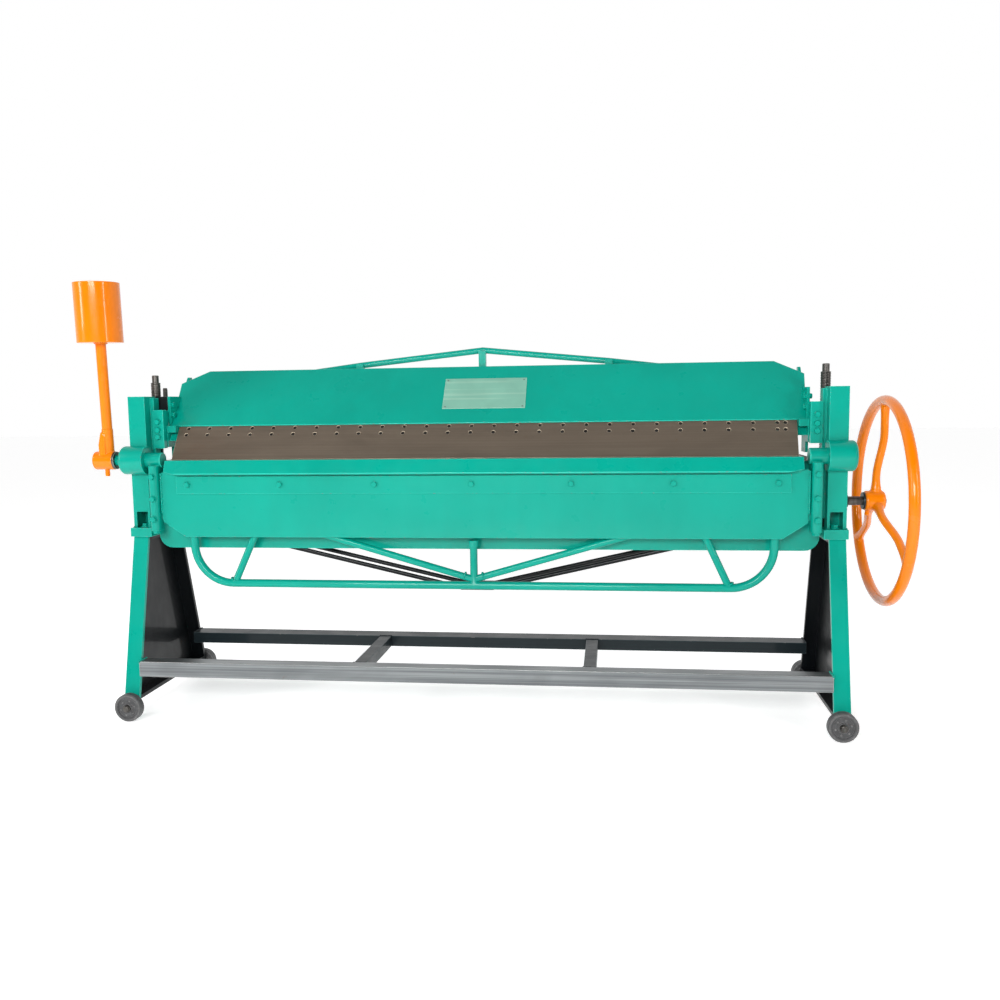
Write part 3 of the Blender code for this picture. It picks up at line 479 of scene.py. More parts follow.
class Grower:
    """A Geometry Nodes tree under construction, with a geometry input and named sizes."""

    def __init__(self, name, **sizes):
        self.tree = bpy.data.node_groups.new(name, "GeometryNodeTree")
        self.ids = {}
        face = self.tree.interface
        face.new_socket("Geometry", in_out="INPUT", socket_type="NodeSocketGeometry")
        for size, value in sizes.items():
            kind = "NodeSocketInt" if isinstance(value, int) else "NodeSocketFloat"
            socket = face.new_socket(size, in_out="INPUT", socket_type=kind)
            socket.default_value = value
            self.ids[size] = socket.identifier
        socket = face.new_socket("Finish", in_out="INPUT", socket_type="NodeSocketMaterial")
        self.ids["Finish"] = socket.identifier
        face.new_socket("Geometry", in_out="OUTPUT", socket_type="NodeSocketGeometry")
        self.given = self.tree.nodes.new("NodeGroupInput").outputs

    def node(self, kind, settings=None, **inputs):
        node = self.tree.nodes.new(kind)
        for name, value in (settings or {}).items():
            setattr(node, name, value)
        for name, value in inputs.items():
            socket = node.inputs[int(name[1:])] if name[0] == "i" and name[1:].isdigit() else node.inputs[name]
            if isinstance(value, bpy.types.NodeSocket):
                self.tree.links.new(value, socket)
            else:
                socket.default_value = value
        return node

    def maths(self, operation, first, second):
        return self.node("ShaderNodeMath", {"operation": operation}, i0=first, i1=second).outputs[0]

    def vector(self, x=0.0, y=0.0, z=0.0):
        return self.node("ShaderNodeCombineXYZ", None, X=x, Y=y, Z=z).outputs[0]

    def moved(self, geometry, offset, turn=(0.0, 0.0, 0.0)):
        node = self.node("GeometryNodeTransform", None, Geometry=geometry, Translation=offset, Rotation=turn)
        return node.outputs[0]

    def join(self, *geometries):
        node = self.tree.nodes.new("GeometryNodeJoinGeometry")
        for geometry in geometries:
            self.tree.links.new(geometry, node.inputs[0])
        return node.outputs[0]

    def on_points(self, instance):
        """One copy on each point, its Z along the point's facing and turned about it."""
        facing = self.node("GeometryNodeInputNamedAttribute", {"data_type": "FLOAT_VECTOR"}, Name="facing")
        turn = self.node("GeometryNodeInputNamedAttribute", {"data_type": "FLOAT"}, Name="turn")
        spin = self.node("FunctionNodeAxisAngleToRotation", None, Axis=(0.0, 0.0, 1.0), Angle=turn.outputs[0])
        aim = self.node(
            "FunctionNodeAlignRotationToVector", {"axis": "Z"}, Rotation=spin.outputs[0], Vector=facing.outputs[0]
        )
        points = self.given["Geometry"]
        return self.node(
            "GeometryNodeInstanceOnPoints", None, Points=points, Instance=instance, Rotation=aim.outputs[0]
        ).outputs[0]

    def finish(self, geometry):
        real = self.node("GeometryNodeRealizeInstances", None, Geometry=geometry).outputs[0]
        coated = self.node("GeometryNodeSetMaterial", None, Geometry=real, Material=self.given["Finish"]).outputs[0]
        end = self.tree.nodes.new("NodeGroupOutput")
        self.tree.links.new(coated, end.inputs[0])
        return self

    def grow(self, name, mesh, finish, **sizes):
        """The plain mesh that the tree makes from a mesh of points or edges."""
        obj = add_object(name, mesh)
        step = obj.modifiers.new("grow", "NODES")
        step.node_group = self.tree
        for size, value in sizes.items():
            step[self.ids[size]] = value
        step[self.ids["Finish"]] = FINISHES[finish]
        obj = make_plain(obj)
        smooth(obj.data)
        return obj


def bolt_tree():
    """A hexagon head with a chamfered top on a washer."""
    grower = Grower("hexagon_bolts", Head=0.009, Height=0.006, Washer=0.0105, Thickness=0.0015)
    head, tall, washer, thick = (grower.given[n] for n in ("Head", "Height", "Washer", "Thickness"))
    side = grower.maths("MULTIPLY", tall, 0.78)
    top = grower.maths("MULTIPLY", tall, 0.22)
    lower = grower.node("GeometryNodeMeshCylinder", None, Vertices=6, Radius=head, Depth=side).outputs[0]
    lift = grower.maths("ADD", thick, grower.maths("MULTIPLY", side, 0.5))
    lower = grower.moved(lower, grower.vector(z=lift))
    narrow = grower.maths("MULTIPLY", head, 0.84)
    sizes = {"Radius Top": narrow, "Radius Bottom": head, "Depth": top}
    cap = grower.node("GeometryNodeMeshCone", None, Vertices=6, **sizes).outputs[0]
    cap = grower.moved(cap, grower.vector(z=grower.maths("ADD", thick, side)))
    disc = grower.node("GeometryNodeMeshCylinder", None, Vertices=28, Radius=washer, Depth=thick).outputs[0]
    disc = grower.moved(disc, grower.vector(z=grower.maths("MULTIPLY", thick, 0.5)))
    return grower.finish(grower.on_points(grower.join(lower, cap, disc)))


def dome_tree():
    """A round rivet or dome head."""
    grower = Grower("dome_heads", Radius=0.008, Height=0.004)
    ball = grower.node("GeometryNodeMeshUVSphere", None, Segments=24, Rings=12, Radius=1.0).outputs[0]
    size = grower.vector(grower.given["Radius"], grower.given["Radius"], grower.given["Height"])
    ball = grower.node("GeometryNodeTransform", None, Geometry=ball, Scale=size).outputs[0]
    return grower.finish(grower.on_points(ball))


def socket_tree():
    """A cap screw with a hexagon socket, its top at the point."""
    grower = Grower("socket_screws", Head=0.0042, Height=0.004, Key=0.0024)
    head, tall, key = (grower.given[n] for n in ("Head", "Height", "Key"))
    body = grower.node("GeometryNodeMeshCylinder", None, Vertices=24, Radius=head, Depth=tall).outputs[0]
    body = grower.moved(body, grower.vector(z=grower.maths("MULTIPLY", tall, -0.5)))
    hollow = grower.node("GeometryNodeMeshCylinder", None, Vertices=6, Radius=key, Depth=tall).outputs[0]
    cut_out = grower.tree.nodes.new("GeometryNodeMeshBoolean")
    cut_out.operation = "DIFFERENCE"
    grower.tree.links.new(body, cut_out.inputs[0])
    grower.tree.links.new(hollow, cut_out.inputs[1])
    return grower.finish(grower.on_points(cut_out.outputs[0]))


def thread_tree():
    """A two-start screw thread round a core, standing on the point. Hand is 1 for right and -1 for left."""
    grower = Grower("screw_thread", Radius=0.016, Depth=0.0016, Height=0.1, Lead=0.010, Hand=1.0)
    radius, depth, tall, lead, hand = (grower.given[n] for n in ("Radius", "Depth", "Height", "Lead", "Hand"))
    root = grower.maths("SUBTRACT", radius, depth)
    turns = grower.maths("DIVIDE", tall, lead)
    spiral = grower.node(
        "GeometryNodeCurveSpiral",
        None,
        **{"Resolution": 32, "Rotations": turns, "Start Radius": root, "End Radius": root, "Height": tall},
    ).outputs[0]
    section = grower.node("GeometryNodeCurvePrimitiveCircle", None, Resolution=6, Radius=depth).outputs[0]
    along = {"Curve": spiral, "Profile Curve": section, "Fill Caps": True}
    ridge = grower.node("GeometryNodeCurveToMesh", None, **along).outputs[0]
    flip = grower.vector(1.0, hand, 1.0)
    ridge = grower.node("GeometryNodeTransform", None, Geometry=ridge, Scale=flip).outputs[0]
    second = grower.moved(ridge, (0.0, 0.0, 0.0), (0.0, 0.0, math.pi))
    core = grower.node("GeometryNodeMeshCylinder", None, Vertices=40, Radius=root, Depth=tall).outputs[0]
    core = grower.moved(core, grower.vector(z=grower.maths("MULTIPLY", tall, 0.5)))
    return grower.finish(grower.on_points(grower.join(ridge, second, core)))


def bead_tree():
    """A weld: overlapping drops along an edge path."""
    grower = Grower("weld_beads", Width=0.004, Step=0.003, Seed=3)
    path = grower.node("GeometryNodeMeshToCurve", None, Mesh=grower.given["Geometry"]).outputs[0]
    step = grower.given["Step"]
    dots = grower.node("GeometryNodeResampleCurve", {"mode": "LENGTH"}, Curve=path, Length=step).outputs[0]
    ball = grower.node("GeometryNodeMeshIcoSphere", None, Radius=grower.given["Width"], Subdivisions=2).outputs[0]
    chance = grower.node(
        "FunctionNodeRandomValue", {"data_type": "FLOAT"}, i2=0.82, i3=1.16, Seed=grower.given["Seed"]
    ).outputs[1]
    drops = grower.node("GeometryNodeInstanceOnPoints", None, Points=dots, Instance=ball, Scale=chance).outputs[0]
    return grower.finish(drops)


BOLTS = bolt_tree()
DOMES = dome_tree()
SOCKETS = socket_tree()
THREADS = thread_tree()
BEADS = bead_tree()


def spots(name, points, facings, turn_step=0.7):
    """A mesh of loose points, each with the way it faces and its turn."""
    mesh = bpy.data.meshes.new(name)
    mesh.from_pydata([tuple(p) for p in points], [], [])
    mesh.attributes.new("facing", "FLOAT_VECTOR", "POINT")
    mesh.attributes.new("turn", "FLOAT", "POINT")
    mesh.attributes["facing"].data.foreach_set("vector", [part for way in facings for part in way])
    mesh.attributes["turn"].data.foreach_set("value", [turn_step * i for i in range(len(facings))])
    return mesh


def bolts(name, body, slot, points, facing, head=0.009, height=0.006, washer=0.0105, thickness=0.0015):
    facings = facing if isinstance(facing, list) else [facing] * len(points)
    mesh = spots(name, points, facings)
    obj = BOLTS.grow(name, mesh, slot, Head=head, Height=height, Washer=washer, Thickness=thickness)
    return detail(obj, body, slot)


def beads(name, body, slot, paths, width=0.004, step=0.0034, seed=3):
    verts = []
    edges = []
    for path in paths:
        start = len(verts)
        verts += [tuple(p) for p in path]
        edges += [(i, i + 1) for i in range(start, len(verts) - 1)]
    mesh = bpy.data.meshes.new(name)
    mesh.from_pydata(verts, edges, [])
    obj = BEADS.grow(name, mesh, slot, Width=width, Step=step, Seed=seed)
    obj.data.shade_smooth()
    return detail(obj, body, slot)


def around(centre, radius, axis, start=0.0, steps=24):
    """A closed ring of points about an axis."""
    side = axis.orthogonal().normalized()
    return arc(centre, side, axis.cross(side), radius, start, start + 2 * math.pi, steps)


# ---------------------------------------------------------------- plates, sections and bars


PAIRS = (
    "front_leg",
    "side_frame",
    "post_foot",
    "post",
    "cross_member",
    "bed_end",
    "clamp_end",
    "slider",
    "lift_nut",
    "gear_case",
    "pivot_bracket",
)
SINGLES = (
    "front_rail",
    "rear_rail",
    "bed_plate",
    "bed_front_plate",
    "bed_beam",
    "bed_strut",
    "bed_rod_front",
    "bed_rod_back",
    "clamp_face_plate",
    "clamp_truss",
    "apron_plate",
    "apron_nose",
    "apron_strip",
    "cross_shaft",
    "flange_bearing",
    "shaft_collar",
)
for pair in PAIRS:
    for tag in SIDES:
        edged(f"{pair}_{tag}")
for single in SINGLES:
    edged(single)


def build_spine():
    """The box section behind the face plate, its ends cut back along the plate's chamfers."""
    outline = [(1.050, 0.318), (0.948, 0.378), (0.948, 0.520), (1.300, 0.520), (1.300, 0.318)]
    work = bmesh.new()
    for side in (-1, 1):
        near = [work.verts.new(on_blade(side * x, up, 0.030)) for x, up in outline]
        far = [work.verts.new(on_blade(side * x, up, -0.400)) for x, up in outline]
        work.faces.new(near)
        work.faces.new(far)
        for i in range(len(outline)):
            k = (i + 1) % len(outline)
            work.faces.new((near[i], near[k], far[k], far[i]))
    bmesh.ops.recalc_face_normals(work, faces=work.faces)
    mesh = bpy.data.meshes.new("spine_ends")
    work.to_mesh(mesh)
    work.free()
    spine = cut(copy_of("clamp_spine"), add_object("spine_ends", mesh))
    stand_for(round_edges(spine, "green_paint", 0.0014), "clamp_spine")


build_spine()
edged("rating_plate", 0.0005)


# ---------------------------------------------------------------- stand wheels


def build_stand_wheel(row, tag, outward):
    """A polymer wheel with a ribbed face, a bushed hub and a hexagon axle bolt."""
    node = f"wheel_{row}_{tag}"
    low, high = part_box(node)
    centre = (low + high) / 2
    half = (high.y - low.y) / 2
    radius = (high.z - low.z) / 2
    bore = 0.0083
    face = []
    for r, sunk in ((bore, 0.0), (0.0150, 0.0), (0.0165, 0.0040), (0.0310, 0.0040), (0.0330, 0.0006)):
        face.append((sunk, r))
    face += [(0.0, 0.0345), (0.0, 0.0385), (0.0012, 0.0400), (0.0012, radius - 0.0030), (0.0040, radius)]
    profile = [(-half + sunk, r) for sunk, r in face] + [(half - sunk, r) for sunk, r in reversed(face)]
    wheel = turned(node + "_finish", Y_AXIS, centre, profile, 96, True)
    stand_for(round_edges(wheel, "wheel_polymer", 0.0005), node)
    body = BODY_OF[node]
    ways = []
    points = []
    for side in (-1, 1):
        for k in range(6):
            angle = math.radians(60 * k + 15)
            reach = 0.0238
            points.append(centre + Vector((reach * math.cos(angle), side * (half - 0.0040), reach * math.sin(angle))))
            ways.append(side * Y_AXIS)
    mesh = spots(f"{node}_studs", points, ways)
    # the studs take the lighter edge polymer, a painted highlight with real scuffs
    studs = DOMES.grow(f"{node}_studs", mesh, "wheel_polymer_edge", Radius=0.0032, Height=0.0016)
    detail(studs, body, "wheel_polymer")
    axle = f"axle_{row}_{tag}"
    edged(axle, 0.0006)
    low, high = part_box(axle)
    end = low.y if outward < 0 else high.y
    tip = Vector((centre.x, end - outward * 0.0004, centre.z))
    inner = Vector((centre.x, (high.y if outward < 0 else low.y) + outward * 0.0008, centre.z))
    ways = [outward * Y_AXIS, -outward * Y_AXIS]
    bolts(f"{axle}_heads", "stand", "dark_steel", [tip, inner], ways, 0.0098, 0.0042, 0.0112, 0.0006)


for tag in SIDES:
    build_stand_wheel("front", tag, -1)
    build_stand_wheel("rear", tag, 1)


# ---------------------------------------------------------------- pivots


def build_pivot(tag, side):
    low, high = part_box(f"pivot_housing_{tag}")
    centre = Vector((0.0, HINGE_Y, HINGE_Z))
    radius = (high.z - low.z) / 2
    inner, outer = (low.x, high.x) if side > 0 else (high.x, low.x)
    pin_low, pin_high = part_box(f"pivot_pin_{tag}")
    pin_r = (pin_high.z - pin_low.z) / 2
    bore = pin_r + 0.0003
    bore_end = outer - side * 0.0145
    round_r = 0.012
    profile = [(bore_end, bore), (inner, bore), (inner, radius)]
    for k in range(9):
        angle = math.pi / 2 * k / 8
        profile.append((outer - side * round_r * (1 - math.sin(angle)), radius - round_r * (1 - math.cos(angle))))
    stub = 0.0175
    if side < 0:
        profile += [(outer, stub + 0.0003), (bore_end, stub + 0.0003)]
    housing = turned(f"pivot_housing_{tag}_finish", X_AXIS, centre, profile, 96, side < 0)
    stand_for(round_edges(housing, "green_paint", 0.0012), f"pivot_housing_{tag}")
    start = pin_low.x if side > 0 else pin_high.x
    end = bore_end - side * 0.002
    profile = [(start, pin_r - 0.0015), (start + side * 0.0015, pin_r), (end, pin_r)]
    if side < 0:
        profile += [(end, stub), (pin_low.x, stub)]
    pin = turned(f"pivot_pin_{tag}_finish", X_AXIS, centre, profile, 96)
    stand_for(round_edges(pin, "green_paint", 0.0010), f"pivot_pin_{tag}")


for tag, side in SIDES.items():
    build_pivot(tag, side)


# ---------------------------------------------------------------- blade and its screws


SCREW_PITCH = 0.0744
SCREWS = 27
HOLE_R = 0.0062


def blade_holes():
    """The two rows of screw holes, the lower one set a little to the left."""
    points = []
    for up, shift in ((0.1316, 0.0), (0.1046, -0.002)):
        for k in range(SCREWS):
            points.append(on_blade(-0.9800 + SCREW_PITCH * k + shift, up))
        points.append(on_blade(0.9790 + shift, up))
    return points


def build_blade():
    aim = Z_AXIS.rotation_difference(BLADE_OUT).to_matrix().to_4x4()
    work = bmesh.new()
    for point in blade_holes():
        bmesh.ops.create_cone(
            work,
            cap_ends=True,
            segments=24,
            radius1=HOLE_R,
            radius2=HOLE_R,
            depth=0.016,
            matrix=Matrix.Translation(point) @ aim,
        )
    cutter = bpy.data.meshes.new("screw_holes")
    work.to_mesh(cutter)
    work.free()
    blade = cut(copy_of("clamp_blade"), add_object("screw_holes", cutter))
    stand_for(round_edges(blade, "blade_steel", 0.0011), "clamp_blade")
    sunk = [point - 0.0024 * BLADE_OUT for point in blade_holes()]
    mesh = spots("blade_screws", sunk, [BLADE_OUT] * len(sunk), 0.9)
    screws = SOCKETS.grow("blade_screws", mesh, "dark_steel", Head=0.0050, Height=0.0046, Key=0.0028)
    detail(screws, "clamp_beam", "dark_steel")


build_blade()


# ---------------------------------------------------------------- lift


SCREW_FROM = HINGE_Z - 0.080
SCREW_TO = HINGE_Z + 0.257
THREAD_DEPTH = 0.0015
THREAD_LEAD = 0.010


def build_spindle(tag, side):
    node = f"spindle_{tag}"
    low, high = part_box(node)
    centre = middle(node)
    centre.z = 0.0
    core = 0.0160 - THREAD_DEPTH - 0.0004
    profile = [
        (low.z, 0.0135),
        (low.z + 0.0082, 0.0217),
        (low.z + 0.0122, 0.0197),
        (low.z + 0.0122, 0.0160),
        (SCREW_FROM, 0.0160),
        (SCREW_FROM, core),
        (SCREW_TO - 0.001, core),
        (SCREW_TO - 0.001, 0.0110),
        (high.z - 0.0015, 0.0110),
        (high.z, 0.0095),
    ]
    shank = turned(f"{node}_finish", Z_AXIS, centre, profile, 64)
    stand_for(round_edges(shank, "dark_steel", 0.0005), node)
    foot = Vector((centre.x, centre.y, SCREW_FROM))
    mesh = spots(f"{node}_thread", [foot], [Z_AXIS])
    thread = THREADS.grow(
        f"{node}_thread",
        mesh,
        "dark_steel",
        Radius=0.0160,
        Depth=THREAD_DEPTH,
        Height=SCREW_TO - SCREW_FROM,
        Lead=THREAD_LEAD,
        Hand=float(-side),
    )
    tidy_mesh(thread.data, 1e-7)
    detail(thread, BODY_OF[node], "dark_steel")


for tag, side in SIDES.items():
    build_spindle(tag, side)


def build_handwheel():
    """A cast wheel: round rim, three dished spokes that flare into it, and a rounded hub."""
    low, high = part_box("handwheel")
    centre = middle("handwheel")
    tube = 0.0165
    rim_x = high.x - tube
    rim_r = (high.z - low.z) / 2 - tube
    centre.x = rim_x
    rim = rod("rim", around(centre, rim_r, X_AXIS, 0.0, 143), tube, 28, closed=True)
    pieces = [rim]
    hub_from, hub_to = low.x, low.x + 0.061
    root = (hub_from + hub_to) / 2 + 0.004
    for turn in (90, 210, 330):
        angle = math.radians(turn)
        points = []
        radii = []
        for k in range(25):
            share = k / 24
            r = 0.012 + (rim_r - 0.012) * share
            ease = min(1.0, max(0.0, (r - 0.070) / (0.215 - 0.070)))
            ease = ease * ease * (3 - 2 * ease)
            points.append(Vector((root + (rim_x - root) * ease, 0, 0)) + Vector(
                (0.0, centre.y + r * math.cos(angle), centre.z + r * math.sin(angle))
            ))
            flare = 0.34 * math.exp(-((r - 0.030) / 0.022) ** 2) + 0.30 * math.exp(-((rim_r - r) / 0.030) ** 2)
            radii.append(1.0 + flare)
        pieces.append(rod(f"spoke_{turn}", points, 0.0122, 20, radii))
    end = 0.010
    profile = [(hub_from, 0.0145), (hub_from, 0.0290), (hub_from + 0.003, 0.0320), (hub_to - end, 0.0320)]
    for k in range(1, 7):
        angle = math.pi / 2 * k / 6
        profile.append((hub_to - end * (1 - math.sin(angle)), 0.0320 - end * (1 - math.cos(angle))))
    profile.append((hub_to, 0.0145))
    pieces.append(turned("hub", X_AXIS, Vector((0.0, centre.y, centre.z)), profile, 64, True))
    wheel = cast("handwheel_finish", pieces, 0.0026, 5)
    give_finish(wheel, "orange_paint")
    stand_for(wheel, "handwheel")
    shaft_end = Vector((hub_to - 0.004, centre.y, centre.z))
    bolts("handwheel_end_nut", "handwheel", "dark_steel", [shaft_end], X_AXIS, 0.0125, 0.0065, 0.0150, 0.0022)
    grub = Vector((hub_from + 0.0105, centre.y, centre.z - 0.0310))
    bolts("handwheel_set_screw", "handwheel", "orange_paint", [grub], -Z_AXIS, 0.0078, 0.0120, 0.0070, 0.0030)
    inner, outer = hub_from - 0.0065, hub_from - 0.0006
    profile = [(inner, 0.0142), (inner, 0.0265), (outer, 0.0280), (outer, 0.0142)]
    collar = turned("handwheel_collar", X_AXIS, Vector((0.0, centre.y, centre.z)), profile, 64, True)
    detail(round_edges(collar, "charcoal_paint", 0.0006), "handwheel", "charcoal_paint")


build_handwheel()


# ---------------------------------------------------------------- counterweight


def build_counterweight():
    arm_x = middle("counterweight_arm").x
    up = Vector((0.0, -math.sin(ARM_LEAN), math.cos(ARM_LEAN)))
    pivot = Vector((arm_x, HINGE_Y, HINGE_Z))
    arm_r, weight_r = 0.0165, 0.0717
    start, low, high = 0.0338, 0.3868, 0.5790
    arm = turned("counterweight_arm_finish", up, pivot, [(start, arm_r), (high - 0.004, arm_r)], 64)
    stand_for(round_edges(arm, "orange_paint", 0.001), "counterweight_arm")
    bore = arm_r + 0.0003
    dish = high - 0.0016
    profile = [(low, bore), (low, weight_r), (high, weight_r)]
    profile += [(high, weight_r - 0.0085), (dish, weight_r - 0.0100), (dish, bore)]
    weight = turned("counterweight_finish", up, pivot, profile, 128, True)
    stand_for(round_edges(weight, "orange_paint", 0.0026, 3), "counterweight")
    plug = pivot + (high - 0.0042) * up
    mesh = spots("counterweight_plug", [plug], [up])
    plug = DOMES.grow("counterweight_plug", mesh, "orange_paint", Radius=0.0158, Height=0.0035)
    detail(plug, "folding_beam", "orange_paint")
    ring = [pivot + (low - 0.0008) * up + offset for offset in around(Vector(), arm_r + 0.0015, up, 0.0, 40)]
    beads("counterweight_weld", "folding_beam", "orange_paint", [ring], 0.0034, 0.0030, 5)
    hub_low, hub_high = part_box("arm_hub")
    ends = (hub_low.x, hub_high.x)
    ring = [(ends[0], 0.0180), (ends[0], 0.0285), (ends[0] + 0.002, 0.0305), (ends[1] - 0.002, 0.0305)]
    ring += [(ends[1], 0.0285), (ends[1], 0.0180)]
    hub = turned("hub", X_AXIS, Vector((0.0, pivot.y, pivot.z)), ring, 64, True)
    points = [pivot + reach * up for reach in (0.0215, 0.1035, 0.1065)]
    sleeve = rod("sleeve", points, 0.0182, 28, [1.0, 1.0, 0.92])
    ear = bpy.data.meshes.new("ear")
    outline = [(0.0, 0.012), (-0.022, 0.012), (-0.0235, 0.052), (-0.0150, 0.092), (-0.0100, 0.096), (0.0, 0.080)]
    corners = [Vector((arm_x + x, pivot.y + y, pivot.z + z)) for y in (-0.024, -0.008) for x, z in outline]
    n = len(outline)
    sides = [(i, (i + 1) % n, n + (i + 1) % n, n + i) for i in range(n)]
    ear.from_pydata([tuple(c) for c in corners], [], [tuple(range(n)), tuple(range(n, 2 * n)), *sides])
    tidy_mesh(ear)
    arm_hub = cast("arm_hub_finish", [hub, sleeve, add_object("ear", ear)], 0.0016, 4)
    give_finish(arm_hub, "orange_paint")
    stand_for(arm_hub, "arm_hub")
    grub = [Vector((arm_x - 0.0090, HINGE_Y, HINGE_Z - 0.0292))]
    bolts("arm_hub_set_screw", "folding_beam", "orange_paint", grub, -Z_AXIS, 0.0086, 0.0150, 0.0075, 0.0080)


build_counterweight()


def build_handle():
    """The bent tube under the apron with its braces, welded together."""
    low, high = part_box("handle_frame")
    tube, bend = 0.0132, 0.130
    reach = (high.x - low.x) / 2 - tube
    foot = low.z + tube
    path = [place(-reach, 0.0, high.z)]
    path += arc(place(bend - reach, 0.0, foot + bend), -X_AXIS, -Z_AXIS, bend, 0.0, math.pi / 2, 16)
    path += arc(place(reach - bend, 0.0, foot + bend), -Z_AXIS, X_AXIS, bend, 0.0, math.pi / 2, 16)
    path.append(place(reach, 0.0, high.z))
    pieces = [rod("tube", path, tube, 32)]
    for side in (-1, 1):
        ends = [place(side * (reach - 0.134), 0.0, foot), place(side * (reach - 0.240), 0.0, HINGE_Z - 0.183)]
        pieces.append(rod(f"outer_brace_{side}", ends, 0.0115))
        ends = [place(0.0, 0.0, foot + 0.020), place(side * 0.540, 0.0, foot + 0.1766)]
        pieces.append(rod(f"inner_brace_{side}", ends, 0.0110))
    top = HINGE_Z - 0.265
    pieces.append(rod("post", [place(0.0, 0.0, foot), place(0.0, 0.0, top)], 0.0120))
    pieces.append(rod("cap", [place(0.0, 0.0, top - 0.018), place(0.0, 0.0, top + 0.002)], 0.0160))
    handle = united("handle_frame_finish", pieces)
    give_finish(handle, "green_paint")
    smooth(handle.data)
    stand_for(handle, "handle_frame")


build_handle()


# ---------------------------------------------------------------- bolts


def build_bolts():
    front = -Y_AXIS
    strip_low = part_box("apron_strip")[0]
    heads = [Vector((MID_X + 0.314 * k, strip_low.y, HINGE_Z - 0.080)) for k in range(-3, 4)]
    bolts("strip_bolts", "folding_beam", "green_paint", heads, front, 0.0098, 0.0066, 0.0112, 0.0014)
    for tag, side in SIDES.items():
        bracket_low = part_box(f"pivot_bracket_{tag}")[0]
        across = side * 1.0555
        heads = [Vector((MID_X + across, bracket_low.y + 0.0008, HINGE_Z - drop)) for drop in (0.053, 0.126, 0.193)]
        bolts(f"bracket_bolts_{tag}", "folding_beam", "green_paint", heads, front, 0.0100, 0.0080, 0.0112, 0.0022)
        foot = [Vector((MID_X + across, bracket_low.y + 0.0150, bracket_low.z + 0.0008))]
        bolts(f"bracket_foot_nut_{tag}", "folding_beam", "green_paint", foot, -Z_AXIS, 0.0120, 0.0090, 0.0130, 0.0020)
        slider_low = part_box(f"slider_{tag}")[0]
        heads = [Vector((MID_X + side * 1.0650, slider_low.y + 0.0003, HINGE_Z + up)) for up in (0.125, 0.098, 0.075)]
        bolts(f"slider_bolts_{tag}", "clamp_beam", "green_paint", heads, front, 0.0098, 0.0070, 0.0108, 0.0016)
        plate = MID_X + side * 1.0430
        inward = -side * X_AXIS
        heads = [place(0, 0.100, HINGE_Z + up) for up in (0.148, 0.182)]
        heads = [Vector((plate, p.y, p.z)) for p in heads]
        bolts(f"clamp_end_bolts_{tag}", "clamp_beam", "green_paint", heads, inward, 0.0090, 0.0070, 0.0105, 0.0016)
        outer = [Vector((MID_X + side * 1.0520, p.y, p.z)) for p in heads]
        bolts(f"clamp_end_nuts_{tag}", "clamp_beam", "green_paint", outer, -inward, 0.0090, 0.0070, 0.0105, 0.0016)
        pocket = [place(side * 1.1225, 0.030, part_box(f"post_foot_{tag}")[1].z - 0.0002)]
        bolts(f"post_foot_bolt_{tag}", "stand", "green_paint", pocket, Z_AXIS, 0.0120, 0.0095, 0.0140, 0.0025)
        foot_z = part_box(f"post_foot_{tag}")[1].z - 0.0002
        heads = [place(side * x, y, foot_z) for x in (1.1050, 1.1380) for y in (0.120, 0.190)]
        bolts(f"post_foot_bolts_{tag}", "stand", "green_paint", heads, Z_AXIS, 0.0095, 0.0070, 0.0120, 0.0020)
        case_low, case_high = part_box(f"gear_case_{tag}")
        heads = []
        for x in (case_low.x + 0.010, case_high.x - 0.010):
            for z in (case_low.z + 0.010, case_high.z - 0.010):
                heads.append(Vector((x, case_high.y - 0.0002, z)))
        bolts(f"gear_case_screws_{tag}", "stand", "black_paint", heads, Y_AXIS, 0.0055, 0.0042, 0.0068, 0.0010)
        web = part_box(f"side_frame_{tag}")
        outer_x = web[1].x if side > 0 else web[0].x
        heads = [place(0, y, z) for y, z in ((0.060, 0.540), (0.200, 0.540), (-0.040, 0.110), (0.330, 0.110))]
        heads = [Vector((outer_x - side * 0.0002, p.y, p.z)) for p in heads]
        bolts(f"side_frame_bolts_{tag}", "stand", "black_paint", heads, side * X_AXIS, 0.0098, 0.0065, 0.0120, 0.0018)
    centre = middle("flange_bearing")
    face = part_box("post_r")[1].x + 0.0118
    turns = [math.pi / 4 * k for k in (1, 3, 5, 7)]
    ring = 0.0345
    heads = [Vector((face, centre.y + ring * math.cos(a), centre.z + ring * math.sin(a))) for a in turns]
    bolts("flange_bolts", "stand", "dark_steel", heads, X_AXIS, 0.0062, 0.0048, 0.0072, 0.0010)
    label = []
    for x in (-0.108, 0.149):
        for up in (0.209, 0.323):
            label.append(on_blade(x, up, 0.0045))
    mesh = spots("label_rivets", label, [BLADE_OUT] * 4)
    detail(DOMES.grow("label_rivets", mesh, "rail_steel", Radius=0.0028, Height=0.0012), "clamp_beam", "label_plate")
    stud = [place(-1.0750, 0.1200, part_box("lift_nut_l")[1].z - 0.001)]
    bolts("lift_nut_stud", "clamp_beam", "dark_steel", stud, Z_AXIS, 0.0085, 0.0290, 0.0090, 0.0010)
    for tag in SIDES:
        low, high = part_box(f"lift_nut_{tag}")
        heads = [Vector((x, low.y + 0.0002, low.z + 0.022)) for x in (low.x + 0.014, high.x - 0.014)]
        bolts(f"lift_nut_screws_{tag}", "clamp_beam", "dark_steel", heads, -Y_AXIS, 0.0060, 0.0020, 0.0070, 0.0002)


build_bolts()


# ---------------------------------------------------------------- welds


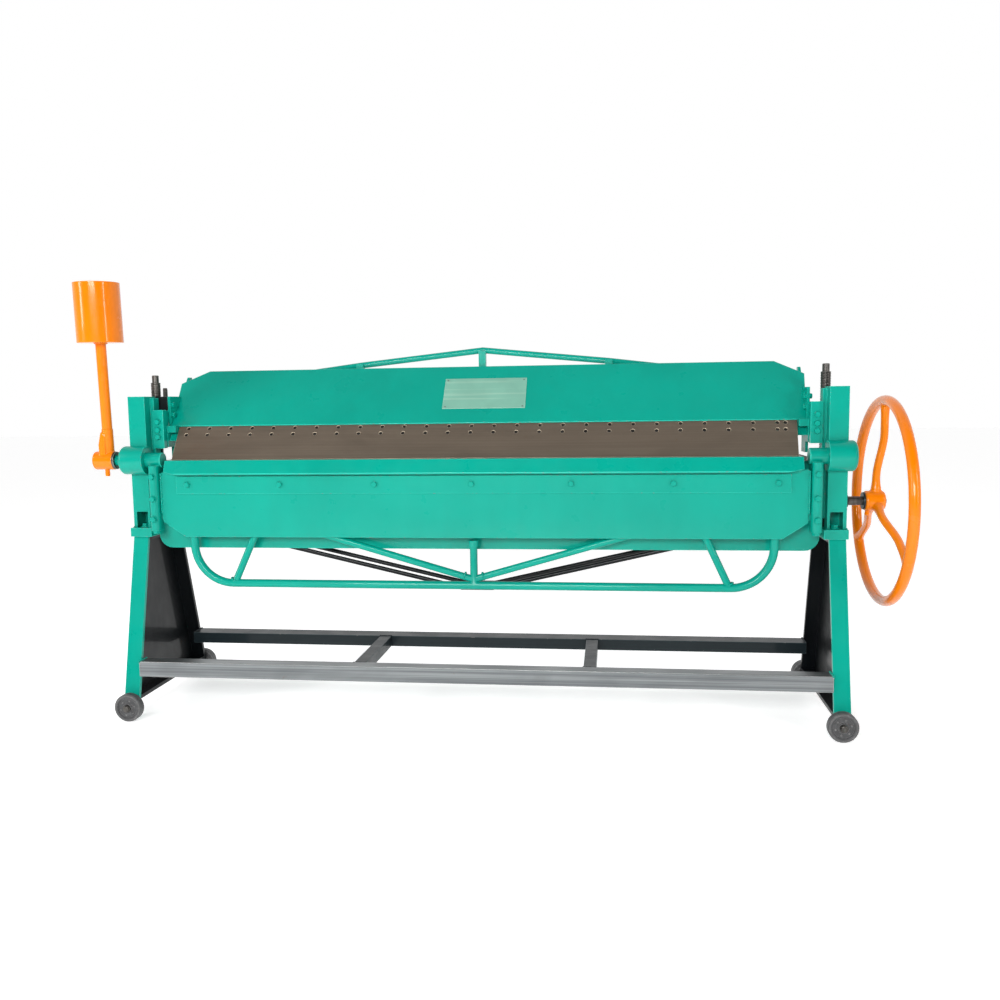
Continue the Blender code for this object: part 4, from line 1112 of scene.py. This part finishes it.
def build_welds():
    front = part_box("apron_plate")[0].y - 0.0004
    frame_low, frame_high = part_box("handle_frame")
    tube = 0.0132
    upright = (frame_high.x - frame_low.x) / 2 - tube
    for tag, side in SIDES.items():
        x = MID_X + side * 1.0352
        seam = [Vector((x, front, HINGE_Z - drop)) for drop in (0.045, 0.118, 0.172)]
        beads(f"bracket_weld_{tag}", "folding_beam", "green_paint", [seam], 0.0036, 0.0031, 7)
        joints = []
        for x0, z0, tilt, r in (
            (side * (upright - 0.134), frame_low.z + 2 * tube - 0.001, -side * 0.436, 0.0120),
            (side * 0.0300, frame_low.z + 2 * tube + 0.018, side * 1.284, 0.0112),
        ):
            way = Vector((math.sin(tilt), 0.0, math.cos(tilt)))
            joints.append([place(x0, 0.0, z0) + p for p in around(Vector(), r, way, 0.0, 24)])
        beads(f"handle_welds_{tag}", "folding_beam", "green_paint", joints, 0.0030, 0.0028, 11)
        rail_low, rail_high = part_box("front_rail")
        rail_end = rail_high.x if side > 0 else rail_low.x
        path = [
            Vector((rail_end - side * 0.001, rail_low.y, rail_high.z)),
            Vector((rail_end - side * 0.001, rail_high.y, rail_high.z)),
        ]
        beads(f"rail_weld_{tag}", "stand", "green_paint", [path], 0.0032, 0.0029, 13)
        back_low, back_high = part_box("rear_rail")
        end = back_high.x if side > 0 else back_low.x
        path = [Vector((end - side * 0.001, y, back_high.z)) for y in (back_low.y, back_high.y)]
        cross_low, cross_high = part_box(f"cross_member_{tag}")
        across = [Vector((x, cross_low.y, cross_high.z)) for x in (cross_low.x, cross_high.x)]
        behind = [Vector((x, cross_high.y, cross_high.z)) for x in (cross_low.x, cross_high.x)]
        beads(f"rear_rail_weld_{tag}", "stand", "charcoal_paint", [path, across, behind], 0.0030, 0.0028, 17)
        y0, y1 = HINGE_Y + 0.010, HINGE_Y + 0.085
        x0, x1 = sorted((MID_X + side * 1.095, MID_X + side * 1.153))
        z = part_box(f"post_foot_{tag}")[1].z
        ring = [Vector((x0, y0, z)), Vector((x0, y1, z)), Vector((x1, y1, z)), Vector((x1, y0, z))]
        beads(f"post_weld_{tag}", "stand", "green_paint", [ring], 0.0032, 0.0029, 19)
    spine_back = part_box("clamp_spine")[1].y
    lugs = []
    for x in (-0.9497, -0.43, 0.0, 0.43, 0.9497):
        for edge in (-0.0125, 0.0125):
            lugs.append([Vector((MID_X + x + edge, spine_back + 0.0005, HINGE_Z + z)) for z in (0.216, 0.244)])
    beads("truss_welds", "clamp_beam", "green_paint", lugs, 0.0030, 0.0028, 23)


build_welds()


# ---------------------------------------------------------------- floor, light and camera


def build_room():
    mesh = bpy.data.meshes.new("floor")
    work = bmesh.new()
    bmesh.ops.create_grid(work, x_segments=1, y_segments=1, size=30.0)
    work.to_mesh(mesh)
    work.free()
    floor = add_object("floor", mesh)
    pale = bpy.data.materials.new("pale_floor")
    pale.use_nodes = True
    shader = pale.node_tree.nodes["Principled BSDF"]
    shader.inputs["Base Color"].default_value = (0.97, 0.97, 0.97, 1.0)
    shader.inputs["Roughness"].default_value = 0.9
    shader.inputs["Specular IOR Level"].default_value = 0.1
    shader.inputs["Emission Color"].default_value = (1.0, 1.0, 1.0, 1.0)
    shader.inputs["Emission Strength"].default_value = 0.45
    mesh.materials.append(pale)
    world = bpy.data.worlds.new("studio")
    world.use_nodes = True
    nodes, links = world.node_tree.nodes, world.node_tree.links
    way = nodes.new("ShaderNodeSeparateXYZ")
    links.new(nodes.new("ShaderNodeTexCoord").outputs["Generated"], way.inputs["Vector"])
    sweep = nodes.new("ShaderNodeMapRange")
    sweep.interpolation_type = "SMOOTHSTEP"
    for socket, value in (("From Min", -0.55), ("From Max", 0.55), ("To Min", 0.06), ("To Max", 1.0)):
        sweep.inputs[socket].default_value = value
    links.new(way.outputs["Y"], sweep.inputs["Value"])
    links.new(sweep.outputs["Result"], nodes["Background"].inputs["Strength"])
    nodes["Background"].inputs["Color"].default_value = (1.0, 1.0, 1.0, 1.0)
    bpy.context.scene.world = world
    for name, spot, aim, size, power in (
        ("front_softbox", (-0.6, -4.6, 2.1), (0.0, 0.0, 0.75), (2.4, 1.0), 165.0),
        ("left_softbox", (-4.0, -2.2, 2.4), (-0.4, 0.0, 0.8), (0.7, 2.2), 70.0),
        ("right_strip", (3.6, -2.6, 1.8), (1.1, 0.0, 0.8), (0.4, 2.0), 40.0),
    ):
        light = bpy.data.lights.new(name, "AREA")
        light.shape = "RECTANGLE"
        light.size, light.size_y = size
        light.energy = power
        obj = add_object(name, light)
        obj.location = spot
        obj.rotation_euler = (Vector(aim) - Vector(spot)).to_track_quat("-Z", "Y").to_euler()


def build_camera():
    right = Vector((0.99263349, 0.12040792, -0.01344167))
    up = Vector((0.00085483, 0.10398204, 0.99457881))
    forward = Vector((-0.12115286, 0.98726373, -0.10311313))
    data = bpy.data.cameras.new("camera")
    data.lens = 33.29
    data.sensor_width = 36.0
    camera = add_object("camera", data)
    turn = Matrix((right, up, -forward)).transposed().to_4x4()
    camera.matrix_world = Matrix.Translation((0.4401, -3.0110, 1.0093)) @ turn
    bpy.context.scene.camera = camera


build_room()
build_camera()
bpy.context.scene.view_settings.view_transform = "Standard"
bpy.context.view_layer.update()
